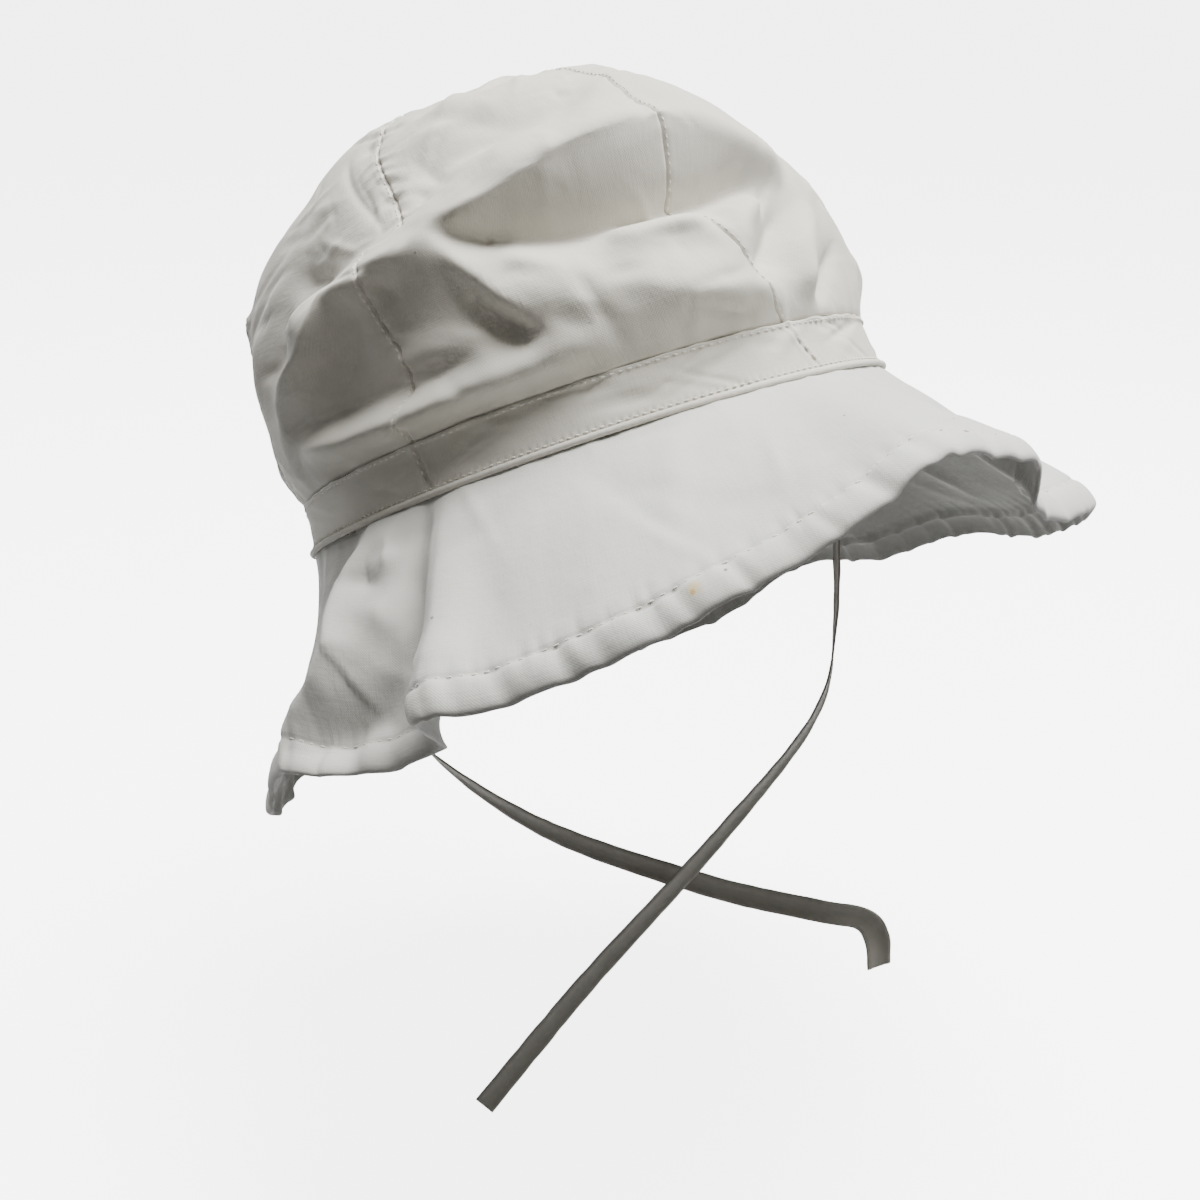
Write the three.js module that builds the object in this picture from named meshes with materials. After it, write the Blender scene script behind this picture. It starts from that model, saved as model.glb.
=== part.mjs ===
// A woven cotton sun hat in the form it has when worn: six crown panels, a band, a fluted brim with a
// folded hem, and two flat tape ties that hang from inside the band.
// Millimetres, +Z up, front of the hat towards -Y.
// The origin is the middle of the head opening, at the seam between band and brim.
import * as THREE from "three";

// Driving dimensions, in millimetres and degrees
const HEAD_HALF_WIDTH = 81;
const HEAD_HALF_LENGTH = 97;
const WORN_TILT = 28;
const CLOTH = 1.2;
const GAP = 0.3;
const PANELS = 6;
const BAND_HEIGHT = 15;
const BAND_CLOTH = 1.6;
const BAND_FLARE = 1.5;
const PIPING = 1.1;
const PIPING_HEIGHT = 1.5;
const PIPING_FOOT = 2.6;
const BRIM_START = 2;
const BRIM_SLANT = 70;
const BRIM_MEAN_RADIUS = 112;
const HEM_WIDTH = 8;
const HEM_CLOTH = 2;
const HEM_STEP = 0.7;
const TIE_WIDTH = 9;
const TIE_CLOTH = 1;
const TIE_CORNER = 0.25;

// Grid counts of the faceted sheets
const PANEL_COLUMNS = 12;
const PANEL_ROWS = 22;
const BAND_STEPS = 84;
const BRIM_STEPS = 84;
const BRIM_ROWS = 5;
const TIE_STEPS = 24;

// Grid counts of the map of the crown's relief, how it is worked out, and where it fades out near the top
const MAP_COLUMNS = 240;
const MAP_ROWS = 48;
const MAP_LEVELS = 3;
const MAP_ROUNDS = 260;
const FOLD_SAMPLES = 24;
const TOP_FADE_RADIUS = 14;

// Crown profile from the band's upper edge to the top: height, and share of the band's half sizes
const CROWN_PROFILE = [
  { height: 15, spread: 0.996 },
  { height: 18, spread: 1.012 },
  { height: 26, spread: 1.035 },
  { height: 38, spread: 1.045 },
  { height: 54, spread: 1.03 },
  { height: 72, spread: 0.94 },
  { height: 88, spread: 0.775 },
  { height: 101, spread: 0.575 },
  { height: 110, spread: 0.385 },
  { height: 115.5, spread: 0.18 },
  { height: 117.5, spread: 0.014 },
];
const CROWN_LEAN = { x: -5.5, y: 4 };
const PANEL_FLATNESS = 0.012;
const FIRST_SEAM = -9;

// Courses of the six crown seams as azimuths by height, 0 being the front and 90 the wearer's left:
// front, left front, left back, back, right back, right front
const SEAM_COURSES = [
  { height: 15, seams: [-1.5, 57, 114, 172, 230, 288] },
  { height: 21, seams: [-3.8, 56, 113, 173, 231, 289] },
  { height: 28, seams: [-6.3, 54, 111.5, 172.5, 232.5, 292] },
  { height: 38, seams: [-8.3, 52.5, 111, 171, 231, 292] },
  { height: 45, seams: [-9.8, 51, 112, 170, 229.5, 291] },
  { height: 51, seams: [-11.4, 50.5, 112, 170.5, 229.5, 291] },
  { height: 53.5, seams: [-14.2, 50.5, 112, 170.5, 229.5, 291.5] },
  { height: 57.5, seams: [-13, 50, 111, 171, 230, 292] },
  { height: 61.5, seams: [-12.2, 50, 110.5, 171.5, 231, 291.5] },
  { height: 66, seams: [-11.5, 51, 110, 172, 232, 292] },
  { height: 68.5, seams: [-11.2, 51, 110, 172, 232, 299.4] },
  { height: 78, seams: [-11, 52, 110.5, 171, 231.5, 298] },
  { height: 87, seams: [-9, 51.5, 111, 170, 230.5, 295.6] },
  { height: 92, seams: [-7.5, 51, 111.5, 170.5, 230.5, 293.6] },
  { height: 100, seams: [-6, 50.5, 111, 171, 231, 290] },
  { height: 117.5, seams: [-6, 50, 110, 170, 230, 286] },
];

// Ridges and hollows of the crown, each a line of azimuth, height and how far the cloth stands out there.
// Between the lines the cloth is stretched like a taut skin.
const CROWN_FOLDS = {
  "overhanging ridge": [
    [-54, 60, 7], [-50, 61.5, 8.5], [-46, 63.5, 9.5], [-43, 65.5, 10], [-37, 68.5, 11.5], [-30, 71.5, 12],
    [-21, 73.5, 12], [-12, 74, 10.5], [-2, 70, 8], [6, 62.5, 5.5], [14, 56.5, 3],
  ],
  "hollow under the ridge": [
    [-53, 60, 4], [-50, 59, -1], [-47, 57.5, -5], [-41, 55, -8], [-35, 52.5, -10.5], [-22, 51.5, -12],
    [-13, 51.5, -12], [1, 53.5, -9], [12, 55, -2],
  ],
  "standing rim": [[-79, 57, 3], [-74, 56, 5], [-68, 56, 6], [-61, 56.5, 7], [-57, 58.5, 7], [-54, 61, 7]],
  "top of the rim": [[-74, 60.5, 3], [-66, 62, 3.5], [-58, 65, 2.5], [-51, 69, 3.5]],
  "tuck behind the rim": [
    [-91, 73, -8], [-84, 69, -9], [-78, 66.5, -5], [-70, 69, -4], [-61, 72, -4], [-55, 74.5, -3],
    [-49, 77, 0],
  ],
  "facet foot": [[-80, 60, 4], [-84, 55, 8], [-88, 57, 4]],
  "slanting crest": [
    [-54, 59.5, 6], [-52, 52.5, 5.5], [-49, 45.5, 5.5], [-47, 38.5, 5.5], [-44, 32, 5], [-38, 28.5, 4],
    [-30, 28, 4],
  ],
  "front bulge": [[-44, 50, 3], [-37, 42, 4], [-30, 34.5, 6], [-22, 29, 7], [-12, 26, 6.5], [-4, 24, 5]],
  "flat beside the crest": [[-44, 40, 5], [-39, 34.5, 6], [-34, 30, 6.5]],
  "swell over the slack": [[-27, 47.5, 2], [-18, 47.5, 2], [-12, 46.5, 2]],
  "slack over the bulge": [[-26, 40, 2], [-18, 39, 0], [-12, 37, 0]],
  "hollow left of the crest": [
    [-66, 53, -4], [-62, 52, 0], [-57, 50, 2], [-53, 44, 1.5], [-50, 36, -2], [-46, 29, -3],
  ],
  "lighter patch": [[-66, 43, -5], [-61, 42, -1], [-57, 40.5, 0.5], [-53, 38.5, 0]],
  "under the lighter patch": [[-68, 34, -2.5], [-60, 33.5, 1.5], [-54, 31.5, 2], [-49, 29, 0]],
  "hollow above the streak": [
    [-100, 33, -1], [-94, 31.5, -4], [-82, 30, -6], [-73, 29, -6], [-66, 29, -3.5], [-60, 29, -1],
    [-55, 28.5, 0.5],
  ],
  "streak": [
    [-98, 26.5, 2], [-92, 25, 5.5], [-82, 23, 7], [-70, 21.5, 7.5], [-58, 21.5, 7], [-47, 22, 6.5],
    [-38, 23, 6],
  ],
  "over the band": [
    [-96, 18, -1], [-80, 17.5, 0.5], [-68, 17, 1.5], [-40, 17, 1.5], [-4, 18, 0.5], [14, 18.5, 0],
  ],
  "ear ridge": [
    [-76, 59, 3], [-79, 54, 4], [-85, 47, 5], [-92, 44, 5], [-98, 40, 3.5], [-104, 33, 1.5],
    [-107, 24, 1],
  ],
  "ear hollow": [[-73, 52, -3], [-78, 43, -6], [-85, 36, -7]],
  "behind the ear ridge": [[-98, 66, -4], [-93, 56, -5], [-103, 50, -3]],
  "right-back swell": [[-110, 62, 1], [-114, 46, 0]],
  "right-back crown": [
    [-130, 27, 0], [-122, 36, -1.5], [-122, 49, -2.5], [-123, 63, -1.5], [-126, 75, 2], [-121, 84, 3],
    [-108, 89, 2], [-103, 96, 1], [-98, 102, 2.5], [-89, 106, 2.5], [-78, 109, 1],
  ],
  "top swell": [
    [-78, 109, 1], [-64, 111, -0.5], [-46, 112.5, -2], [-28, 112, -2], [-14, 110, 0], [7, 109.5, 0],
    [14, 107, 1], [50, 110, 1], [90, 109, 1],
  ],
  "front top": [[3, 99, 4], [-3, 88, 6], [0, 84, 5.5], [3, 78, 5]],
  "top of the ridge": [[-40, 73.5, 8.5], [-30, 76.5, 8.5], [-19, 79, 7.5], [-8, 79, 6.5]],
  "valley over the ridge": [[-57, 85, -3], [-49, 84, -3], [-39, 83, -2.5], [-28, 85, -1], [-17, 87, 2]],
  "swell over the valley": [[-60, 98, 1], [-50, 98.5, 3], [-36, 98.5, 4], [-20, 99, 4]],
  "right valley": [[15, 52, -2], [8, 42, -6], [1, 34, -6], [-5, 29, -2]],
  "right swell": [[3, 48, 0.5], [-4, 43, 1.5], [-6, 36, 3]],
  "right swell by the edge": [[17, 43, 2], [10, 35, 3], [6, 24, 5]],
  "right edge": [
    [18, 66, 1], [21, 56, 0], [27, 51, -0.5], [28, 43, 1], [34, 36, 0.5], [40, 29, -1], [40, 20, -0.5],
  ],
  "edge valley": [[25, 36, 0], [19, 30, -2], [13, 24, -3], [10, 19, -2]],
  "over the temple": [[62, 78, -3], [46, 82, -6], [34, 86, -6], [24, 94, -3]],
  "left-front ridge": [[39, 63, -1.5], [50, 64, 0], [64, 62, 2]],
  "left-front hollow": [[36, 50, -1], [52, 50, -3]],
  "left-front bulge": [[36, 30, 2], [52, 30, 3]],
  "left crest": [[58, 60, 2], [68, 34, 3]],
  "left hollow": [[70, 56, -6], [92, 46, -5]],
  "left ridge": [[74, 74, 5], [90, 72, 6], [104, 66, 6]],
  "left streak": [[74, 26, 4], [90, 24, 4], [104, 28, 3]],
  "left-back hollow": [[108, 52, -5], [128, 40, -4]],
  "left-back ridge": [[116, 70, 4], [140, 78, 5]],
  "nape bulge": [[134, 32, 4], [150, 28, 5], [166, 31, 4]],
  "nape hollow": [[146, 60, -6], [162, 54, -6], [180, 52, -5]],
  "nape ridge": [[158, 78, 5], [176, 76, 6], [194, 70, 5]],
  "nape crest": [[182, 52, 1], [192, 30, 3]],
  "right-back hollow": [[196, 48, -5], [208, 50, -6], [222, 56, -4]],
  "right-back ridge": [[204, 68, 4], [220, 74, 5], [234, 74, 4]],
  "right-back bulge": [[206, 30, 3], [222, 27, 3], [232, 29, 1]],
  "top dent left": [[30, 98, -3], [60, 94, -5], [90, 96, -4]],
  "top dent back": [[150, 100, -3], [180, 96, -4], [210, 98, -2]],
};

// How far the cloth hangs or stands past its place near a line, up being positive: the reach above and
// below the line, and the line's azimuths, heights and amounts
const CROWN_SLIPS = {
  "ridge hangs over": { above: 10, below: 3.5, points: [
    [-52, 62, 0], [-44, 66, -3], [-28, 72, -5], [-10, 74, -4], [8, 61, -1],
  ] },
  "rim stands up": { above: 4, below: 8, points: [[-82, 57, 0], [-74, 56, 2], [-66, 56, 2], [-56, 60, 0]] },
};

// Brim: for each azimuth at the band, where the hem lies, and how much the slope flares like a bell
const BRIM_FLUTES = [
  { band: -70, hem: -65, radius: 134, drop: 51, bell: 1.1 },
  { band: -68, hem: -61.5, radius: 137.5, drop: 49, bell: 1.05 },
  { band: -62, hem: -55, radius: 136, drop: 52, bell: 1 },
  { band: -52, hem: -47, radius: 138, drop: 51, bell: 1 },
  { band: -44, hem: -40, radius: 143, drop: 49, bell: 1 },
  { band: -34, hem: -33, radius: 148, drop: 45, bell: 1 },
  { band: -23, hem: -25, radius: 152, drop: 41, bell: 1 },
  { band: -12, hem: -18, radius: 158, drop: 35, bell: 1 },
  { band: -2, hem: -11, radius: 163, drop: 27.5, bell: 0.95 },
  { band: 4, hem: -3, radius: 158, drop: 32, bell: 0.97 },
  { band: 9, hem: 3.5, radius: 154, drop: 37, bell: 0.98 },
  { band: 13, hem: 6, radius: 146, drop: 47, bell: 1.02 },
  { band: 20, hem: 14, radius: 142, drop: 52, bell: 1.04 },
  { band: 32, hem: 28, radius: 140, drop: 52, bell: 1.06 },
  { band: 45, hem: 42, radius: 135, drop: 56, bell: 1.12 },
  { band: 58, hem: 56, radius: 130, drop: 58, bell: 1.2 },
  { band: 80, hem: 80, radius: 127, drop: 51, bell: 1.2 },
  { band: 95, hem: 95, radius: 128, drop: 52, bell: 1.3 },
  { band: 112, hem: 112, radius: 136, drop: 46, bell: 1.3 },
  { band: 130, hem: 130, radius: 129, drop: 57, bell: 1.3 },
  { band: 150, hem: 150, radius: 134, drop: 59, bell: 1.2 },
  { band: 168, hem: 168, radius: 146, drop: 48, bell: 1.2 },
  { band: 184, hem: 185, radius: 142, drop: 52, bell: 1.2 },
  { band: 201, hem: 201, radius: 128, drop: 60, bell: 1.3 },
  { band: 216, hem: 216, radius: 118, drop: 56, bell: 1.4 },
  { band: 226, hem: 226, radius: 112, drop: 54.5, bell: 1.4 },
  { band: 234, hem: 234, radius: 106, drop: 56, bell: 1.5 },
  { band: 238, hem: 238.5, radius: 110, drop: 59, bell: 1.5 },
  { band: 242, hem: 242.5, radius: 114.5, drop: 61, bell: 1.45 },
  { band: 246, hem: 246.5, radius: 118, drop: 64.5, bell: 1.4 },
  { band: 250, hem: 250.5, radius: 122.5, drop: 66, bell: 1.35 },
  { band: 254, hem: 256, radius: 126, drop: 63.6, bell: 1.3 },
  { band: 258, hem: 260.5, radius: 126.5, drop: 58, bell: 1.25 },
  { band: 265, hem: 268, radius: 128, drop: 52, bell: 1.1 },
  { band: 272, hem: 274.5, radius: 126, drop: 55, bell: 0.9 },
  { band: 279, hem: 280, radius: 120, drop: 59, bell: 0.78 },
  { band: 285, hem: 285, radius: 114, drop: 62, bell: 0.8 },
  { band: 288.5, hem: 289, radius: 110, drop: 60, bell: 0.9 },
];

// Ridges and hollows of the brim at the wearer's right, each a line of azimuth, share of the way from the
// band to the hem, and how far the cloth stands out there
const BRIM_FOLDS = {
  "side ridge": { width: 5.5, points: [
    [-85, 0.08, 1], [-88, 0.27, 5], [-87, 0.42, 6], [-86, 0.52, 6], [-89, 0.66, 6], [-93, 0.78, 5],
    [-96, 0.9, 2],
  ] },
  "left of the side ridge": { width: 8.5, points: [
    [-94, 0.14, -4], [-95, 0.4, -8], [-97, 0.6, -8], [-102, 0.78, -4],
  ] },
  "right of the side ridge": { width: 8, points: [
    [-75, 0.66, -3], [-78, 0.8, -8], [-83, 0.87, -11], [-89, 0.89, -9], [-95, 0.93, -4],
  ] },
  "facet": { width: 6, points: [[-82, 0.38, 1], [-78, 0.42, 3], [-75, 0.5, 1]] },
};

// Ties: points of the hanging tapes in the frame of the finished part, from inside the band to the free
// end, with the azimuth that the tape's face is turned to
const TIES = {
  tie_left: [
    { x: 71.6, y: -27.8, z: 29.4, facing: 63 },
    { x: 71.6, y: -33.5, z: 18.8, facing: 63 },
    { x: 71.3, y: -36.2, z: -10, facing: 62 },
    { x: 70, y: -41, z: -56, facing: 48 },
    { x: 60, y: -43.5, z: -85.4, facing: 26 },
    { x: 31, y: -33, z: -122.2, facing: 8 },
    { x: -12, y: -19, z: -165.1, facing: -6 },
    { x: -34, y: -16, z: -183, facing: -12 },
    { x: -56, y: -14.4, z: -199.8, facing: -14 },
  ],
  tie_right: [
    { x: -39.5, y: 78.1, z: -26.9, facing: -146 },
    { x: -39.5, y: 72.4, z: -37.5, facing: -146 },
    { x: -38.5, y: 68, z: -60, facing: -144 },
    { x: -33, y: 56, z: -98, facing: -128 },
    { x: -8, y: 20, z: -128, facing: -96 },
    { x: 28, y: -25, z: -145, facing: -66 },
    { x: 55, y: -53, z: -153, facing: -48 },
    { x: 68.5, y: -62.5, z: -157.5, facing: -42 },
    { x: 73.8, y: -65.2, z: -166, facing: -30 },
    { x: 75, y: -66.1, z: -177.3, facing: -18 },
  ],
};

const FULL_TURN = 360;
const RADIANS = Math.PI / 180;

// Steps over which the facing of a surface is measured: degrees, then millimetres or a share of the climb
const CROWN_FACING_STEPS = { u: 0.5, v: 0.5 };
const BRIM_FACING_STEPS = { u: 0.5, v: 0.02 };
const FOLD_ROUNDNESS = 0.4;

// Monotone cubic through the rows of a table: smooth, and never past a row's value
function smoothTable(rows, key, field, period) {
  const wrapped = rows.map((row) => ({ at: row[key], value: row[field] }));
  if (period) {
    const head = wrapped.slice(0, 2).map((row) => turned(row, period, field === "hem"));
    const tail = wrapped.slice(-2).map((row) => turned(row, -period, field === "hem"));
    wrapped.unshift(...tail);
    wrapped.push(...head);
  }
  const slope = (from, to) => (to.value - from.value) / (to.at - from.at);
  const slopes = wrapped.slice(1).map((row, i) => slope(wrapped[i], row));
  const tangents = wrapped.map((row, i) => {
    const before = slopes[i - 1];
    const after = slopes[i];
    if (before === undefined || after === undefined) return before ?? after;
    if (before * after <= 0) return 0;
    return (2 * before * after) / (before + after);
  });
  return (at) => {
    const i = Math.min(Math.max(wrapped.findLastIndex((row) => row.at <= at), 0), wrapped.length - 2);
    const span = wrapped[i + 1].at - wrapped[i].at;
    const u = THREE.MathUtils.clamp((at - wrapped[i].at) / span, 0, 1);
    const rise = u * u * (3 - 2 * u);
    const leave = u * (1 - u) * (1 - u) * span * tangents[i];
    const arrive = u * u * (u - 1) * span * tangents[i + 1];
    return wrapped[i].value * (1 - rise) + wrapped[i + 1].value * rise + leave + arrive;
  };
}

function turned(row, period, angular) {
  return { at: row.at + period, value: angular ? row.value + period : row.value };
}

// A point of an upright ellipse around the hat's axis, by azimuth
function onEllipse(azimuth, halfWidth, halfLength, height) {
  const a = azimuth * RADIANS;
  return new THREE.Vector3(halfWidth * Math.sin(a), -halfLength * Math.cos(a), height);
}

// Closed mesh between two grids of points, outer and inner; a grid that wraps has no side walls
function sheetGeometry(outer, inner, wraps) {
  const rows = outer.length;
  const columns = outer[0].length;
  const positions = [];
  for (const grid of [outer, inner]) {
    for (const row of grid) {
      for (const point of row) positions.push(point.x, point.y, point.z);
    }
  }
  const index = (layer, row, column) => (layer * rows + row) * columns + (column % columns);
  const faces = [];
  const quad = (a, b, c, d) => faces.push(a, b, c, a, c, d);
  const spans = wraps ? columns : columns - 1;
  const top = rows - 1;
  for (let c = 0; c < spans; c++) {
    for (let r = 0; r < rows - 1; r++) {
      quad(index(0, r, c), index(0, r, c + 1), index(0, r + 1, c + 1), index(0, r + 1, c));
      quad(index(1, r, c), index(1, r + 1, c), index(1, r + 1, c + 1), index(1, r, c + 1));
    }
    quad(index(0, 0, c), index(1, 0, c), index(1, 0, c + 1), index(0, 0, c + 1));
    quad(index(0, top, c), index(0, top, c + 1), index(1, top, c + 1), index(1, top, c));
  }
  if (!wraps) {
    const last = columns - 1;
    for (let r = 0; r < rows - 1; r++) {
      quad(index(0, r, 0), index(0, r + 1, 0), index(1, r + 1, 0), index(1, r, 0));
      quad(index(0, r, last), index(1, r, last), index(1, r + 1, last), index(0, r + 1, last));
    }
  }
  const geometry = new THREE.BufferGeometry();
  geometry.setAttribute("position", new THREE.Float32BufferAttribute(positions, 3));
  geometry.setIndex(faces);
  return geometry;
}

// Direction that a surface function of two values faces, from places a step away to either side
function facingOf(surface, u, v, steps) {
  const along = surface(u + steps.u, v).sub(surface(u - steps.u, v));
  const across = surface(u, v + steps.v).sub(surface(u, v - steps.v));
  return along.cross(across).normalize();
}

// A sheet of cloth from a surface function, with its thickness put on the inner side
function clothSheet(surface, columnsAt, rowsAt, wraps, steps, thicknessAt) {
  const outer = rowsAt.map((v) => columnsAt.map((u) => surface(u, v)));
  const inner = outer.map((row, r) => row.map((point, c) => {
    const facing = facingOf(surface, columnsAt[c], rowsAt[r], steps);
    return point.clone().addScaledVector(facing, -thicknessAt(rowsAt[r]));
  }));
  return sheetGeometry(outer, inner, wraps);
}

function evenly(from, to, steps) {
  return Array.from({ length: steps + 1 }, (_, i) => from + ((to - from) * i) / steps);
}

// Nearest place on a line of azimuth, way up and amount: its distance and amount, and whether it is below
function nearestOn(points, azimuth, up, radius) {
  let nearest = { distance: Infinity, amount: 0, isBelow: false };
  points.slice(1).forEach(([toAzimuth, toUp, toAmount], i) => {
    const [fromAzimuth, fromUp, fromAmount] = points[i];
    const turn = ((azimuth - fromAzimuth + FULL_TURN * 2.5) % FULL_TURN) - FULL_TURN / 2;
    const place = new THREE.Vector2(turn * RADIANS * radius, up - fromUp);
    const line = new THREE.Vector2((toAzimuth - fromAzimuth) * RADIANS * radius, toUp - fromUp);
    const share = THREE.MathUtils.clamp(place.dot(line) / line.lengthSq(), 0, 1);
    const away = place.sub(line.multiplyScalar(share));
    if (away.length() >= nearest.distance) return;
    const amount = THREE.MathUtils.lerp(fromAmount, toAmount, share);
    nearest = { distance: away.length(), amount, isBelow: away.y > 0 };
  });
  return nearest;
}

// Crown: the plain shape, by azimuth and by the distance along the cloth from the band's upper edge
const HEAD_MEAN = (HEAD_HALF_WIDTH + HEAD_HALF_LENGTH) / 2;
const CROWN_TOP = CROWN_PROFILE[CROWN_PROFILE.length - 1].height;
const crownCurve = new THREE.SplineCurve(
  CROWN_PROFILE.map((row) => new THREE.Vector2(row.spread * HEAD_MEAN, row.height)),
);
const CROWN_RISE = crownCurve.getLength();

function crownSection(rise) {
  return crownCurve.getPointAt(THREE.MathUtils.clamp(rise / CROWN_RISE, 0, 1));
}

// Distance along the cloth to a height of the crown
function riseAt(height) {
  let low = 0;
  let high = CROWN_RISE;
  while (high - low > GAP) {
    const middle = (low + high) / 2;
    if (crownSection(middle).y < height) low = middle;
    else high = middle;
  }
  return (low + high) / 2;
}

const seamAtHeight = Array.from({ length: PANELS }, (_, i) => {
  const course = SEAM_COURSES.map(({ height, seams }) => ({ height, azimuth: seams[i] }));
  return smoothTable(course, "height", "azimuth");
});

// Azimuth of a seam; the seam after the last one is the first, one turn on
function seamAzimuth(index, rise) {
  const turns = Math.floor(index / PANELS);
  return seamAtHeight[index % PANELS](crownSection(rise).y) + FULL_TURN * turns;
}

function plainCrown(azimuth, rise) {
  const section = crownSection(rise);
  const leaning = (section.y - BAND_HEIGHT) / (CROWN_TOP - BAND_HEIGHT);
  const betweenSeams = 1 - Math.cos(PANELS * (azimuth - FIRST_SEAM) * RADIANS);
  const share = (section.x / HEAD_MEAN) * (1 - PANEL_FLATNESS * betweenSeams * Math.sin(Math.PI * leaning));
  const point = onEllipse(azimuth, HEAD_HALF_WIDTH * share, HEAD_HALF_LENGTH * share, section.y);
  point.x += CROWN_LEAN.x * leaning;
  point.y += CROWN_LEAN.y * leaning;
  return point;
}

// Places and depths of close points along every fold
function foldSamples() {
  return Object.values(CROWN_FOLDS).flatMap((points) => points.slice(1).flatMap((to, i) => {
    const from = points[i];
    return evenly(0, 1, FOLD_SAMPLES).map((share) => ({
      azimuth: THREE.MathUtils.lerp(from[0], to[0], share),
      rise: THREE.MathUtils.lerp(riseAt(from[1]), riseAt(to[1]), share),
      depth: THREE.MathUtils.lerp(from[2], to[2], share),
    }));
  }));
}

function gridOf(rows, columns, valueAt) {
  return Array.from({ length: rows }, (_, r) => Array.from({ length: columns }, (__, c) => valueAt(r, c)));
}

// Mean depth of the folds that cross each cell of the map; null where none does
function heldDepths(samples, rows, columns) {
  const found = gridOf(rows, columns, () => []);
  for (const { azimuth, rise, depth } of samples) {
    const row = Math.round((rise / CROWN_RISE) * (rows - 1));
    const column = (Math.round((azimuth / FULL_TURN) * columns) + columns) % columns;
    found[row][column].push(depth);
  }
  const mean = (depths) => depths.reduce((sum, depth) => sum + depth, 0) / depths.length;
  return gridOf(rows, columns, (r, c) => (found[r][c].length ? mean(found[r][c]) : null));
}

// Lets the free cells settle between the held ones; the lowest row is sewn to the band and stays at nought
function settle(cells, held) {
  const rows = cells.length;
  const columns = cells[0].length;
  const up = ((rows - 1) / CROWN_RISE) ** 2;
  for (let round = 0; round < MAP_ROUNDS; round++) {
    for (let r = 1; r < rows; r++) {
      const radius = Math.max(crownRadii[Math.round((r * (MAP_ROWS - 1)) / (rows - 1))], TOP_FADE_RADIUS);
      const across = (columns / (radius * FULL_TURN * RADIANS)) ** 2;
      const above = cells[Math.min(r + 1, rows - 1)];
      for (let c = 0; c < columns; c++) {
        const beside = cells[r][(c + 1) % columns] + cells[r][(c + columns - 1) % columns];
        const free = (across * beside + up * (above[c] + cells[r - 1][c])) / (2 * across + 2 * up);
        cells[r][c] = held[r][c] ?? free;
      }
    }
  }
}

// Each cell mixed with its neighbours once, so that the folds are round
function softened(cells) {
  const columns = cells[0].length;
  const mixed = (before, here, after) => (before + 2 * here + after) / 4;
  const aside = cells.map((row) => row.map((value, c) => mixed(
    row[(c + columns - 1) % columns],
    value,
    row[(c + 1) % columns],
  )));
  return aside.map((row, r) => row.map((value, c) => (r === 0 ? 0 : mixed(
    aside[r - 1][c],
    value,
    (aside[r + 1] ?? row)[c],
  ))));
}

// Distance of the cloth from the plain crown for every cell, worked out coarsely first and then finer
function reliefMap() {
  const samples = foldSamples();
  let cells = gridOf(MAP_ROWS >> MAP_LEVELS, MAP_COLUMNS >> MAP_LEVELS, () => 0);
  for (let level = MAP_LEVELS - 1; level >= 0; level--) {
    const coarse = cells;
    cells = gridOf(MAP_ROWS >> level, MAP_COLUMNS >> level, (r, c) => coarse[r >> 1][c >> 1]);
    cells[0].fill(0);
    settle(cells, heldDepths(samples, MAP_ROWS >> level, MAP_COLUMNS >> level));
  }
  return softened(cells);
}

const crownRadii = evenly(0, CROWN_RISE, MAP_ROWS - 1).map((rise) => crownSection(rise).x);
const relief = reliefMap();

function reliefAt(azimuth, rise) {
  const turn = ((azimuth % FULL_TURN) + FULL_TURN) % FULL_TURN;
  const column = (turn / FULL_TURN) * MAP_COLUMNS;
  const row = THREE.MathUtils.clamp(rise / CROWN_RISE, 0, 1) * (MAP_ROWS - 1);
  const left = Math.floor(column) % MAP_COLUMNS;
  const right = (left + 1) % MAP_COLUMNS;
  const lower = Math.min(Math.floor(row), MAP_ROWS - 2);
  const inRow = (cells) => THREE.MathUtils.lerp(cells[left], cells[right], column % 1);
  return THREE.MathUtils.lerp(inRow(relief[lower]), inRow(relief[lower + 1]), row - lower);
}

const slips = Object.values(CROWN_SLIPS).map(({ above, below, points }) => ({
  above,
  below,
  points: points.map(([azimuth, height, amount]) => [azimuth, riseAt(height), amount]),
}));

function crownSurface(azimuth, rise) {
  const point = plainCrown(azimuth, rise);
  const facing = facingOf(plainCrown, azimuth, rise, CROWN_FACING_STEPS);
  const radius = crownSection(rise).x;
  point.addScaledVector(facing, reliefAt(azimuth, rise) * Math.min(radius / TOP_FADE_RADIUS, 1));
  for (const { above, below, points } of slips) {
    const nearest = nearestOn(points, azimuth, rise, Math.max(radius, TOP_FADE_RADIUS));
    const reach = nearest.isBelow ? above : below;
    point.z += nearest.amount * Math.exp(-((nearest.distance / reach) ** 2));
  }
  return point;
}

// Half of the gap at a seam, as an azimuth: wider where the seam runs aslant, so that the gap stays even
function seamClearance(index, rise) {
  const radius = crownSection(rise).x;
  const reach = CROWN_RISE / PANEL_ROWS / 2;
  const turn = seamAzimuth(index, rise + reach) - seamAzimuth(index, rise - reach);
  const slant = (turn * RADIANS * radius) / (2 * reach);
  return (GAP / 2 / radius / RADIANS) * Math.hypot(1, slant);
}

function crownPanel(index) {
  const surface = (share, rise) => {
    const from = seamAzimuth(index, rise) + seamClearance(index, rise);
    const to = seamAzimuth(index + 1, rise) - seamClearance(index + 1, rise);
    return crownSurface(from + (to - from) * share, rise);
  };
  const rows = evenly(GAP / 2, CROWN_RISE, PANEL_ROWS);
  const steps = { u: 0.5 / PANEL_COLUMNS, v: (0.5 * CROWN_RISE) / PANEL_ROWS };
  return clothSheet(surface, evenly(0, 1, PANEL_COLUMNS), rows, false, steps, () => CLOTH);
}

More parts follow.
